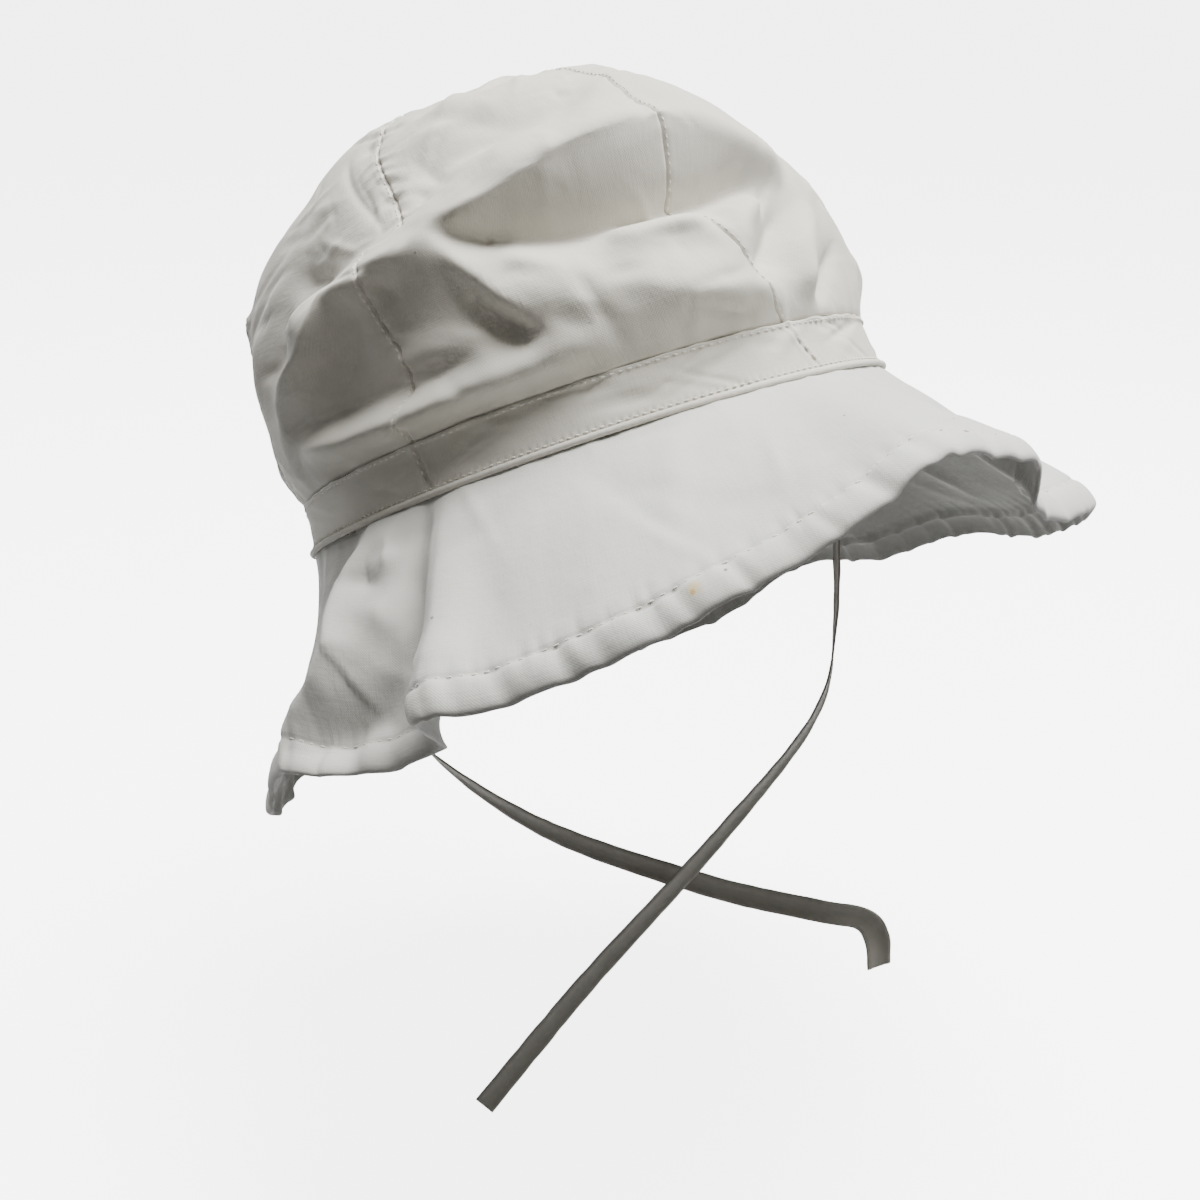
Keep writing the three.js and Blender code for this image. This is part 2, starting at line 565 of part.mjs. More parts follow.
// Band: a ring with a rounded piping ridge along its lower edge
function hatBand() {
  const outline = [
    { out: BAND_FLARE - BAND_CLOTH, height: GAP / 2 },
    { out: BAND_FLARE + PIPING, height: GAP / 2 },
    { out: BAND_FLARE + PIPING, height: PIPING_HEIGHT },
    { out: BAND_FLARE * (1 - PIPING_FOOT / BAND_HEIGHT), height: PIPING_FOOT },
    { out: 0, height: BAND_HEIGHT - GAP / 2 },
    { out: -BAND_CLOTH, height: BAND_HEIGHT - GAP / 2 },
  ];
  const azimuths = evenly(0, FULL_TURN, BAND_STEPS).slice(0, -1);
  return ringGeometry(outline, azimuths);
}

// A closed ring of one outline, turned round the head's ellipse
function ringGeometry(outline, azimuths) {
  const positions = [];
  for (const azimuth of azimuths) {
    for (const { out, height } of outline) {
      positions.push(...onEllipse(azimuth, HEAD_HALF_WIDTH + out, HEAD_HALF_LENGTH + out, height));
    }
  }
  const sides = outline.length;
  const faces = [];
  azimuths.forEach((_, i) => {
    const next = (i + 1) % azimuths.length;
    for (let k = 0; k < sides; k++) {
      const a = i * sides + k;
      const b = next * sides + k;
      const up = (k + 1) % sides;
      faces.push(a, b, next * sides + up, a, next * sides + up, i * sides + up);
    }
  });
  const geometry = new THREE.BufferGeometry();
  geometry.setAttribute("position", new THREE.Float32BufferAttribute(positions, 3));
  geometry.setIndex(faces);
  return geometry;
}

// Brim: straight or bell-shaped lines from the band to the hem, and the folds on them
const hemAzimuth = smoothTable(BRIM_FLUTES, "band", "hem", FULL_TURN);
const hemRadius = smoothTable(BRIM_FLUTES, "band", "radius", FULL_TURN);
const hemDrop = smoothTable(BRIM_FLUTES, "band", "drop", FULL_TURN);
const brimBell = smoothTable(BRIM_FLUTES, "band", "bell", FULL_TURN);
const HEM_SHARE = HEM_WIDTH / BRIM_SLANT;

// A point of the brim without its folds, by azimuth at the band and share of the climb from hem to band
function plainBrim(azimuth, climb) {
  const share = 1 - climb;
  const top = onEllipse(azimuth, HEAD_HALF_WIDTH + BRIM_START, HEAD_HALF_LENGTH + BRIM_START, -GAP / 2);
  const radius = hemRadius(azimuth);
  const hem = onEllipse(hemAzimuth(azimuth), radius, radius, -hemDrop(azimuth));
  const out = Math.pow(Math.max(share, 0), brimBell(azimuth));
  const point = top.clone().lerp(hem, out);
  point.z = THREE.MathUtils.lerp(top.z, hem.z, share);
  return point;
}

const brimLines = Object.values(BRIM_FOLDS).map(({ width, points }) => ({
  width,
  points: points.map(([azimuth, share, depth]) => [azimuth, share * BRIM_SLANT, depth]),
}));

function brimSurface(azimuth, climb) {
  const point = plainBrim(azimuth, climb);
  const facing = facingOf(plainBrim, azimuth, climb, BRIM_FACING_STEPS);
  for (const { width, points } of brimLines) {
    const nearest = nearestOn(points, azimuth, (1 - climb) * BRIM_SLANT, BRIM_MEAN_RADIUS);
    const soft = FOLD_ROUNDNESS * width;
    const strength = Math.exp((soft - Math.hypot(nearest.distance, soft)) / width);
    point.addScaledVector(facing, nearest.amount * strength);
  }
  return point;
}

function brim() {
  const starts = BRIM_FLUTES.map((row) => row.band);
  const azimuths = starts.flatMap((start, i) => {
    const end = i + 1 < starts.length ? starts[i + 1] : starts[0] + FULL_TURN;
    return evenly(start, end, Math.ceil(((end - start) * BRIM_STEPS) / FULL_TURN)).slice(0, -1);
  });
  const hemTop = (HEM_WIDTH - HEM_STEP) / BRIM_SLANT;
  const climbs = [0, hemTop, ...evenly(HEM_SHARE, 1, BRIM_ROWS - 1)];
  const thickness = (climb) => (climb < HEM_SHARE ? HEM_CLOTH : CLOTH);
  return clothSheet(brimSurface, azimuths, climbs, true, BRIM_FACING_STEPS, thickness);
}

function facingAt(rows, share) {
  const place = share * (rows.length - 1);
  const before = Math.min(Math.floor(place), rows.length - 2);
  return THREE.MathUtils.lerp(rows[before].facing, rows[before + 1].facing, place - before);
}

// Tie: a flat tape along a smooth curve, turning with the azimuths of its rows
function tie(rows) {
  const curve = new THREE.CatmullRomCurve3(rows.map(({ x, y, z }) => new THREE.Vector3(x, y, z)));
  const halfWidth = TIE_WIDTH / 2;
  const halfCloth = TIE_CLOTH / 2;
  const section = [
    [halfWidth, halfCloth - TIE_CORNER],
    [halfWidth - TIE_CORNER, halfCloth],
    [TIE_CORNER - halfWidth, halfCloth],
    [-halfWidth, halfCloth - TIE_CORNER],
    [-halfWidth, TIE_CORNER - halfCloth],
    [TIE_CORNER - halfWidth, -halfCloth],
    [halfWidth - TIE_CORNER, -halfCloth],
    [halfWidth, TIE_CORNER - halfCloth],
  ];
  const sides = section.length;
  const positions = [];
  const faces = [];
  for (let i = 0; i <= TIE_STEPS; i++) {
    const centre = curve.getPoint(i / TIE_STEPS);
    const tangent = curve.getTangent(i / TIE_STEPS);
    const face = onEllipse(facingAt(rows, i / TIE_STEPS), 1, 1, 0);
    face.addScaledVector(tangent, -face.dot(tangent)).normalize();
    const wide = tangent.clone().cross(face);
    for (const [w, t] of section) {
      const point = centre.clone().addScaledVector(wide, w).addScaledVector(face, t);
      positions.push(point.x, point.y, point.z);
    }
  }
  for (let i = 0; i < TIE_STEPS; i++) {
    for (let k = 0; k < sides; k++) {
      const next = (k + 1) % sides;
      const a = i * sides;
      const b = a + sides;
      faces.push(a + k, b + k, b + next, a + k, b + next, a + next);
    }
  }
  const end = TIE_STEPS * sides;
  for (let k = 1; k < sides - 1; k++) {
    faces.push(0, k, k + 1, end, end + k + 1, end + k);
  }
  const geometry = new THREE.BufferGeometry();
  geometry.setAttribute("position", new THREE.Float32BufferAttribute(positions, 3));
  geometry.setIndex(faces);
  return geometry;
}

const cotton = new THREE.MeshStandardMaterial({ color: 0xe4e2da, roughness: 0.9, metalness: 0 });
const tape = new THREE.MeshStandardMaterial({ color: 0xdedbd1, roughness: 0.9, metalness: 0 });

function piece(name, geometry, material) {
  const mesh = new THREE.Mesh(geometry, material);
  mesh.name = name;
  return mesh;
}

const wornHat = new THREE.Group();
wornHat.rotation.x = -WORN_TILT * RADIANS;
for (let i = 0; i < PANELS; i++) wornHat.add(piece(`crown_panel_${i + 1}`, crownPanel(i), cotton));
wornHat.add(piece("hat_band", hatBand(), cotton));
wornHat.add(piece("brim", brim(), cotton));

const hat = new THREE.Group();
hat.add(wornHat);
for (const [name, points] of Object.entries(TIES)) hat.add(piece(name, tie(points), tape));

export default hat;
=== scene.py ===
"""A worn cotton sun hat: crumpled crown panels, a stitched band, a fluted brim and two tapes."""
import math

import bpy
import numpy as np
from mathutils import Matrix, Vector


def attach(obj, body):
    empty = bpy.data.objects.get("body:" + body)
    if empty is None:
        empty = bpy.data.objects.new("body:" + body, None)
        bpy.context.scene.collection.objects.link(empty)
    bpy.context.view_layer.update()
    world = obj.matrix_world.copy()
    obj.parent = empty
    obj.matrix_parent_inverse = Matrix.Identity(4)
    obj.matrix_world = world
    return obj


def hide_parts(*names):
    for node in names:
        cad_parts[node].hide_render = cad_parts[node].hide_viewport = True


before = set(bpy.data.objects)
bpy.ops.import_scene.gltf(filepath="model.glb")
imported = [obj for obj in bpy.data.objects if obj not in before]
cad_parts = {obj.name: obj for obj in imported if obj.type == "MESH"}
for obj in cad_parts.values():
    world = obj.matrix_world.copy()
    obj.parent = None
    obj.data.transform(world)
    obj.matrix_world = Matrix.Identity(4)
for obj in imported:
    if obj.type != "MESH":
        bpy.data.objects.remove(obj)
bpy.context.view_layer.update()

# Driving dimensions, in metres and degrees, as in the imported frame
HEAD_HALF_WIDTH = 0.081
HEAD_HALF_LENGTH = 0.097
HEAD_MEAN = (HEAD_HALF_WIDTH + HEAD_HALF_LENGTH) / 2
WORN_TILT = 28
CLOTH = 0.0010
PANELS = 6
PANEL_FLATNESS = 0.012
BAND_HEIGHT = 0.015
BAND_CLOTH = 0.0014
BAND_FLARE = 0.0015
PIPING = 0.0009
BRIM_START = 0.0016
HEM_WIDTH = 0.008
HEM_CLOTH = 0.0018
TIE_WIDTH = 0.009
TIE_CLOTH = 0.0008

# Crown profile: height, and share of the band's half sizes
CROWN_PROFILE = [
    (0.015, 0.996),
    (0.018, 1.012),
    (0.026, 1.035),
    (0.038, 1.045),
    (0.054, 1.03),
    (0.072, 0.94),
    (0.088, 0.775),
    (0.101, 0.575),
    (0.11, 0.385),
    (0.1155, 0.18),
    (0.1175, 0.014),
]
CROWN_LEAN = (-0.0055, 0.004)

# Courses of the crown's six seams: height, and the azimuth of each seam there, from 0 at the front over
# 90 at the wearer's left
SEAM_COURSES = [
    # height, front, left front, left back, back, right back, right front
    (0.015, -1.5, 57, 114, 172, 230, 288),
    (0.021, -3.8, 56, 113, 173, 231, 289),
    (0.028, -6.3, 54, 111.5, 172.5, 232.5, 292),
    (0.038, -8.3, 52.5, 111, 171, 231, 292),
    (0.045, -9.8, 51, 112, 170, 229.5, 291),
    (0.051, -11.4, 50.5, 112, 170.5, 229.5, 291),
    (0.0535, -14.2, 50.5, 112, 170.5, 229.5, 291.5),
    (0.0575, -13, 50, 111, 171, 230, 292),
    (0.0615, -12.2, 50, 110.5, 171.5, 231, 291.5),
    (0.066, -11.5, 51, 110, 172, 232, 292),
    (0.0685, -11.2, 51, 110, 172, 232, 299.4),
    (0.078, -11, 52, 110.5, 171, 231.5, 298),
    (0.087, -9, 51.5, 111, 170, 230.5, 295.6),
    (0.092, -7.5, 51, 111.5, 170.5, 230.5, 293.6),
    (0.1, -6, 50.5, 111, 171, 231, 290),
    (0.1175, -6, 50, 110, 170, 230, 286),
]

# Ridges and hollows of the crown's cloth: the points of each line, as azimuth, height, and how far
# the cloth stands out there
CROWN_FOLDS = {
    "overhanging ridge": [
        (-54, 0.06, 0.007), (-50, 0.0615, 0.0085), (-46, 0.0635, 0.0095), (-43, 0.0655, 0.01),
        (-37, 0.0685, 0.0115), (-30, 0.0715, 0.012), (-21, 0.0735, 0.012), (-12, 0.074, 0.0105),
        (-2, 0.07, 0.008), (6, 0.0625, 0.0055), (14, 0.0565, 0.003),
    ],
    "hollow under the ridge": [
        (-53, 0.06, 0.004), (-50, 0.059, -0.001), (-47, 0.0575, -0.005), (-41, 0.055, -0.008),
        (-35, 0.0525, -0.0105), (-22, 0.0515, -0.012), (-13, 0.0515, -0.012), (1, 0.0535, -0.009),
        (12, 0.055, -0.002),
    ],
    "standing rim": [
        (-79, 0.057, 0.003), (-74, 0.056, 0.005), (-68, 0.056, 0.006), (-61, 0.0565, 0.007),
        (-57, 0.0585, 0.007), (-54, 0.061, 0.007),
    ],
    "top of the rim": [
        (-74, 0.0605, 0.003), (-66, 0.062, 0.0035), (-58, 0.065, 0.0025), (-51, 0.069, 0.0035),
    ],
    "tuck behind the rim": [
        (-91, 0.073, -0.008), (-84, 0.069, -0.009), (-78, 0.0665, -0.005), (-70, 0.069, -0.004),
        (-61, 0.072, -0.004), (-55, 0.0745, -0.003), (-49, 0.077, 0),
    ],
    "facet foot": [(-80, 0.06, 0.004), (-84, 0.055, 0.008), (-88, 0.057, 0.004)],
    "slanting crest": [
        (-54, 0.0595, 0.006), (-52, 0.0525, 0.0055), (-49, 0.0455, 0.0055), (-47, 0.0385, 0.0055),
        (-44, 0.032, 0.005), (-38, 0.0285, 0.004), (-30, 0.028, 0.004),
    ],
    "front bulge": [
        (-44, 0.05, 0.003), (-37, 0.042, 0.004), (-30, 0.0345, 0.006), (-22, 0.029, 0.007),
        (-12, 0.026, 0.0065), (-4, 0.024, 0.005),
    ],
    "flat beside the crest": [(-44, 0.04, 0.005), (-39, 0.0345, 0.006), (-34, 0.03, 0.0065)],
    "swell over the slack": [(-27, 0.0475, 0.002), (-18, 0.0475, 0.002), (-12, 0.0465, 0.002)],
    "slack over the bulge": [(-26, 0.04, 0.002), (-18, 0.039, 0), (-12, 0.037, 0)],
    "hollow left of the crest": [
        (-66, 0.053, -0.004), (-62, 0.052, 0), (-57, 0.05, 0.002), (-53, 0.044, 0.0015),
        (-50, 0.036, -0.002), (-46, 0.029, -0.003),
    ],
    "lighter patch": [(-66, 0.043, -0.005), (-61, 0.042, -0.001), (-57, 0.0405, 0.0005), (-53, 0.0385, 0)],
    "under the lighter patch": [
        (-68, 0.034, -0.0025), (-60, 0.0335, 0.0015), (-54, 0.0315, 0.002), (-49, 0.029, 0),
    ],
    "hollow above the streak": [
        (-100, 0.033, -0.001), (-94, 0.0315, -0.004), (-82, 0.03, -0.006), (-73, 0.029, -0.006),
        (-66, 0.029, -0.0035), (-60, 0.029, -0.001), (-55, 0.0285, 0.0005),
    ],
    "streak": [
        (-98, 0.0265, 0.002), (-92, 0.025, 0.0055), (-82, 0.023, 0.007), (-70, 0.0215, 0.0075),
        (-58, 0.0215, 0.007), (-47, 0.022, 0.0065), (-38, 0.023, 0.006),
    ],
    "over the band": [
        (-96, 0.018, -0.001), (-80, 0.0175, 0.0005), (-68, 0.017, 0.0015), (-40, 0.017, 0.0015),
        (-4, 0.018, 0.0005), (14, 0.0185, 0),
    ],
    "ear ridge": [
        (-76, 0.059, 0.003), (-79, 0.054, 0.004), (-85, 0.047, 0.005), (-92, 0.044, 0.005),
        (-98, 0.04, 0.0035), (-104, 0.033, 0.0015), (-107, 0.024, 0.001),
    ],
    "ear hollow": [(-73, 0.052, -0.003), (-78, 0.043, -0.006), (-85, 0.036, -0.007)],
    "behind the ear ridge": [(-98, 0.066, -0.004), (-93, 0.056, -0.005), (-103, 0.05, -0.003)],
    "right-back swell": [(-110, 0.062, 0.001), (-114, 0.046, 0)],
    "right-back crown": [
        (-130, 0.027, 0), (-122, 0.036, -0.0015), (-122, 0.049, -0.0025), (-123, 0.063, -0.0015),
        (-126, 0.075, 0.002), (-121, 0.084, 0.003), (-108, 0.089, 0.002), (-103, 0.096, 0.001),
        (-98, 0.102, 0.0025), (-89, 0.106, 0.0025), (-78, 0.109, 0.001),
    ],
    "top swell": [
        (-78, 0.109, 0.001), (-64, 0.111, -0.0005), (-46, 0.1125, -0.002), (-28, 0.112, -0.002),
        (-14, 0.11, 0), (7, 0.1095, 0), (14, 0.107, 0.001), (50, 0.11, 0.001), (90, 0.109, 0.001),
    ],
    "front top": [(3, 0.099, 0.004), (-3, 0.088, 0.006), (0, 0.084, 0.0055), (3, 0.078, 0.005)],
    "top of the ridge": [
        (-40, 0.0735, 0.0085), (-30, 0.0765, 0.0085), (-19, 0.079, 0.0075), (-8, 0.079, 0.0065),
    ],
    "valley over the ridge": [
        (-57, 0.085, -0.003), (-49, 0.084, -0.003), (-39, 0.083, -0.0025), (-28, 0.085, -0.001),
        (-17, 0.087, 0.002),
    ],
    "swell over the valley": [
        (-60, 0.098, 0.001), (-50, 0.0985, 0.003), (-36, 0.0985, 0.004), (-20, 0.099, 0.004),
    ],
    "right valley": [(15, 0.052, -0.002), (8, 0.042, -0.006), (1, 0.034, -0.006), (-5, 0.029, -0.002)],
    "right swell": [(3, 0.048, 0.0005), (-4, 0.043, 0.0015), (-6, 0.036, 0.003)],
    "right swell by the edge": [(17, 0.043, 0.002), (10, 0.035, 0.003), (6, 0.024, 0.005)],
    "right edge": [
        (18, 0.066, 0.001), (21, 0.056, 0), (27, 0.051, -0.0005), (28, 0.043, 0.001), (34, 0.036, 0.0005),
        (40, 0.029, -0.001), (40, 0.02, -0.0005),
    ],
    "edge valley": [(25, 0.036, 0), (19, 0.03, -0.002), (13, 0.024, -0.003), (10, 0.019, -0.002)],
    "over the temple": [(62, 0.078, -0.003), (46, 0.082, -0.006), (34, 0.086, -0.006), (24, 0.094, -0.003)],
    "left-front ridge": [(39, 0.063, -0.0015), (50, 0.064, 0), (64, 0.062, 0.002)],
    "left-front hollow": [(36, 0.05, -0.001), (52, 0.05, -0.003)],
    "left-front bulge": [(36, 0.03, 0.002), (52, 0.03, 0.003)],
    "left crest": [(58, 0.06, 0.002), (68, 0.034, 0.003)],
    "left hollow": [(70, 0.056, -0.006), (92, 0.046, -0.005)],
    "left ridge": [(74, 0.074, 0.005), (90, 0.072, 0.006), (104, 0.066, 0.006)],
    "left streak": [(74, 0.026, 0.004), (90, 0.024, 0.004), (104, 0.028, 0.003)],
    "left-back hollow": [(108, 0.052, -0.005), (128, 0.04, -0.004)],
    "left-back ridge": [(116, 0.07, 0.004), (140, 0.078, 0.005)],
    "nape bulge": [(134, 0.032, 0.004), (150, 0.028, 0.005), (166, 0.031, 0.004)],
    "nape hollow": [(146, 0.06, -0.006), (162, 0.054, -0.006), (180, 0.052, -0.005)],
    "nape ridge": [(158, 0.078, 0.005), (176, 0.076, 0.006), (194, 0.07, 0.005)],
    "nape crest": [(182, 0.052, 0.001), (192, 0.03, 0.003)],
    "right-back hollow": [(196, 0.048, -0.005), (208, 0.05, -0.006), (222, 0.056, -0.004)],
    "right-back ridge": [(204, 0.068, 0.004), (220, 0.074, 0.005), (234, 0.074, 0.004)],
    "right-back bulge": [(206, 0.03, 0.003), (222, 0.027, 0.003), (232, 0.029, 0.001)],
    "top dent left": [(30, 0.098, -0.003), (60, 0.094, -0.005), (90, 0.096, -0.004)],
    "top dent back": [(150, 0.1, -0.003), (180, 0.096, -0.004), (210, 0.098, -0.002)],
}

# Sharp creases: half width, then the points of each line, as azimuth, height, and how far
# the cloth stands out there
CROWN_CREASES = {
    "apex of the hollow": (0.0022, [
        (-56, 0.0608, 0), (-52, 0.0595, -0.0014), (-47, 0.0572, -0.0022), (-40, 0.055, 0),
    ]),
    "foot of the hollow": (0.003, [
        (-40, 0.055, -0.0008), (-16, 0.0505, -0.0014), (-2, 0.0525, -0.0012), (12, 0.055, 0),
    ]),
    "edge of the crest": (0.0016, [
        (-54, 0.057, 0), (-51, 0.05, 0.001), (-47, 0.0385, 0.0014), (-43, 0.031, 0),
    ]),
    "under the crest": (0.0024, [
        (-56, 0.053, 0), (-51, 0.042, -0.0016), (-47, 0.032, -0.0024), (-41, 0.028, 0),
    ]),
    "line over the streak": (0.0018, [
        (-96, 0.031, 0), (-82, 0.029, -0.0014), (-68, 0.0275, -0.0012), (-56, 0.0285, 0),
    ]),
    "edge of the streak": (0.0014, [
        (-96, 0.026, 0), (-82, 0.024, 0.001), (-64, 0.023, 0.0008), (-44, 0.0245, 0),
    ]),
    "ear line": (0.0012, [
        (-76, 0.061, 0.0004), (-78.5, 0.055, 0.0014), (-85, 0.0475, 0.0016), (-92, 0.0445, 0.0016),
        (-98, 0.04, 0.0012), (-104, 0.033, 0),
    ]),
    "beside the ear line": (0.0022, [
        (-75, 0.057, 0), (-78, 0.049, -0.0014), (-87, 0.04, -0.0012), (-94, 0.034, 0),
    ]),
    "facet left": (0.0014, [(-93, 0.0725, 0), (-89, 0.064, -0.0018), (-85, 0.055, -0.0008)]),
    "facet right": (0.0012, [(-77, 0.064, 0), (-80, 0.059, -0.0018), (-84, 0.0545, -0.0004)]),
    "crease over the seam": (0.0014, [
        (-85, 0.102, 0), (-80, 0.096, -0.0009), (-68, 0.079, -0.001), (-64, 0.069, 0),
    ]),
    "crease beside it": (0.0011, [(-75, 0.094, 0), (-69, 0.084, -0.0006), (-65, 0.072, 0)]),
    "dimple on the seam": (0.002, [(-78, 0.104, 0), (-74, 0.1, -0.0013), (-70, 0.097, 0)]),
    "lower dimple": (0.0024, [(-67, 0.084, 0), (-63, 0.08, -0.0014), (-60, 0.078, 0)]),
    "dent right of the seam": (0.0034, [(-59, 0.082, 0), (-56, 0.078, -0.0016), (-55, 0.074, 0)]),
    "slanting crease": (0.003, [(-58, 0.091, 0), (-53, 0.082, -0.0016), (-48, 0.072, 0)]),
    "right of the front seam": (0.0016, [(-10, 0.047, 0), (-7, 0.046, -0.0014), (-4, 0.048, 0)]),
    "crease at the front seam": (0.0012, [(-20, 0.0285, 0), (-13, 0.029, -0.0014), (-7, 0.029, 0)]),
    "right valley line": (0.0024, [(17, 0.049, 0), (8, 0.041, -0.0026), (0, 0.033, -0.003), (-6, 0.03, 0)]),
    "edge valley line": (0.002, [(27, 0.037, 0), (20, 0.03, -0.0024), (13, 0.0235, -0.002), (9, 0.018, 0)]),
    "fold near the top": (0.0024, [
        (-4, 0.108, 0), (-19, 0.109, 0.0012), (-42, 0.101, 0.0018), (-48, 0.096, 0),
    ]),
    "under the top fold": (0.003, [(-8, 0.106, 0), (-24, 0.1035, -0.0018), (-41, 0.0955, 0)]),
    "streaks by the right valley": (0.0016, [(13, 0.042, 0), (7, 0.034, 0.0012), (3, 0.028, 0)]),
    "seam puff left": (0.0024, [(-24, 0.044, 0), (-17, 0.0425, -0.0014), (-11, 0.042, 0)]),
    "over the band left": (0.002, [
        (-88, 0.019, 0), (-66, 0.017, -0.001), (-40, 0.017, -0.0006), (-8, 0.018, 0),
    ]),
    "left-front crease": (0.0018, [(40, 0.06, 0), (48, 0.05, -0.0014), (60, 0.044, 0)]),
    "left crease": (0.0018, [(72, 0.066, 0), (84, 0.058, -0.0016), (100, 0.056, 0)]),
    "left-back crease": (0.002, [(112, 0.06, 0), (124, 0.05, -0.0016), (140, 0.046, 0)]),
    "nape crease": (0.0018, [(150, 0.068, 0), (166, 0.062, -0.0014), (184, 0.06, 0)]),
    "right-back crease": (0.0018, [(200, 0.058, 0), (212, 0.042, -0.0015), (224, 0.036, 0)]),
}

# How far the cloth slips along its height near a line, up being positive: reach above, reach below, points
CROWN_SLIPS = {
    "ridge hangs over": (0.01, 0.0035, [
        (-52, 0.062, 0), (-44, 0.066, -0.003), (-28, 0.072, -0.005), (-10, 0.074, -0.004),
        (8, 0.061, -0.001),
    ]),
    "rim stands up": (0.004, 0.008, [
        (-82, 0.057, 0), (-74, 0.056, 0.002), (-66, 0.056, 0.002), (-56, 0.06, 0),
    ]),
}

# Random wrinkles of the crown, of the band and of the brim: how many, how deep, shortest and longest,
# narrowest and widest
WRINKLES = [
    (90, 0.0018, 0.008, 0.02, 0.003, 0.0055),
    (280, 0.001, 0.004, 0.012, 0.0013, 0.0026),
    (460, 0.00044, 0.002, 0.007, 0.0007, 0.0013),
]
LOWEST_WRINKLE = 0.02
HIGHEST_WRINKLE = 0.86
BAND_WRINKLES = (90, 0.0008, 0.005, 0.014, 0.0008, 0.0018)
BRIM_WRINKLES = (110, 0.0008, 0.008, 0.022, 0.002, 0.006)

# Brim: for each azimuth at the band, where the hem lies, and how much the slope flares like a bell
BRIM_FLUTES = [
    # band azimuth, hem azimuth, radius, drop, bell
    (-70, -65, 0.134, 0.051, 1.1),
    (-68, -61.5, 0.1375, 0.049, 1.05),
    (-62, -55, 0.136, 0.052, 1),
    (-52, -47, 0.138, 0.051, 1),
    (-44, -40, 0.143, 0.049, 1),
    (-34, -33, 0.148, 0.045, 1),
    (-23, -25, 0.152, 0.041, 1),
    (-12, -18, 0.158, 0.035, 1),
    (-2, -11, 0.163, 0.0275, 0.95),
    (4, -3, 0.158, 0.032, 0.97),
    (9, 3.5, 0.154, 0.037, 0.98),
    (13, 6, 0.146, 0.047, 1.02),
    (20, 14, 0.142, 0.052, 1.04),
    (32, 28, 0.14, 0.052, 1.06),
    (45, 42, 0.135, 0.056, 1.12),
    (58, 56, 0.13, 0.058, 1.2),
    (80, 80, 0.127, 0.051, 1.2),
    (95, 95, 0.128, 0.052, 1.3),
    (112, 112, 0.136, 0.046, 1.3),
    (130, 130, 0.129, 0.057, 1.3),
    (150, 150, 0.134, 0.059, 1.2),
    (168, 168, 0.146, 0.048, 1.2),
    (184, 185, 0.142, 0.052, 1.2),
    (201, 201, 0.128, 0.06, 1.3),
    (216, 216, 0.118, 0.056, 1.4),
    (226, 226, 0.112, 0.0545, 1.4),
    (234, 234, 0.106, 0.056, 1.5),
    (238, 238.5, 0.11, 0.059, 1.5),
    (242, 242.5, 0.1145, 0.061, 1.45),
    (246, 246.5, 0.118, 0.0645, 1.4),
    (250, 250.5, 0.1225, 0.066, 1.35),
    (254, 256, 0.126, 0.0636, 1.3),
    (258, 260.5, 0.1265, 0.058, 1.25),
    (265, 268, 0.128, 0.052, 1.1),
    (272, 274.5, 0.126, 0.055, 0.9),
    (279, 280, 0.12, 0.059, 0.78),
    (285, 285, 0.114, 0.062, 0.8),
    (288.5, 289, 0.11, 0.06, 0.9),
]
BRIM_SLANT = 0.07
BRIM_MEAN_RADIUS = 0.112
BRIM_CLOTH_LENGTH = 0.74

# Folds of the brim's cloth: half width, then the points of each line, as azimuth at the band, share of
# the way out to the hem, and how far the cloth stands out there
BRIM_FOLDS = {
    "side ridge": (0.0055, [
        (-85, 0.08, 0.001), (-88, 0.27, 0.005), (-87, 0.42, 0.006), (-86, 0.52, 0.006), (-89, 0.66, 0.006),
        (-93, 0.78, 0.005), (-96, 0.9, 0.002),
    ]),
    "left of the side ridge": (0.0085, [
        (-94, 0.14, -0.004), (-95, 0.4, -0.008), (-97, 0.6, -0.008), (-102, 0.78, -0.004),
    ]),
    "right of the side ridge": (0.008, [
        (-75, 0.66, -0.003), (-78, 0.8, -0.008), (-83, 0.87, -0.011), (-89, 0.89, -0.009),
        (-95, 0.93, -0.004),
    ]),
    "dimple": (0.0028, [(-87, 0.26, -0.001), (-83, 0.25, -0.004), (-79, 0.29, -0.001)]),
    "facet": (0.006, [(-82, 0.38, 0.001), (-78, 0.42, 0.003), (-75, 0.5, 0.001)]),
    "small swell": (0.0026, [(-79, 0.12, 0.001), (-78, 0.19, 0.002)]),
    "thin side crease": (0.0012, [
        (-96, 0.2, 0), (-98, 0.28, 0.0012), (-101, 0.46, 0.0012), (-103, 0.6, 0),
    ]),
    "beside the front panel": (0.0022, [
        (-72, 0.06, -0.001), (-73, 0.3, -0.0035), (-72, 0.55, -0.003), (-71, 0.78, 0),
    ]),
    "upper front wave": (0.009, [(-62, 0.18, 0.0006), (-40, 0.24, -0.0008), (-20, 0.2, 0.0006)]),
    "lower front wave": (0.01, [
        (-60, 0.62, -0.0008), (-46, 0.72, 0.0008), (-30, 0.62, -0.0007), (-16, 0.66, 0.0006),
    ]),
    "fold by the far flute": (0.0014, [(3, 0.1, 0), (1, 0.3, 0.001), (0, 0.62, 0.0012), (3, 0.8, 0)]),
    "left crease": (0.003, [(62, 0.1, 0), (66, 0.5, -0.0024), (64, 0.8, 0)]),
    "left-back crease": (0.003, [(118, 0.1, 0), (122, 0.5, -0.0024), (120, 0.8, 0)]),
    "nape crease": (0.003, [(176, 0.1, 0), (172, 0.5, -0.0024), (178, 0.8, 0)]),
    "right-back crease": (0.003, [(222, 0.1, 0), (226, 0.45, -0.002), (224, 0.8, 0)]),
}

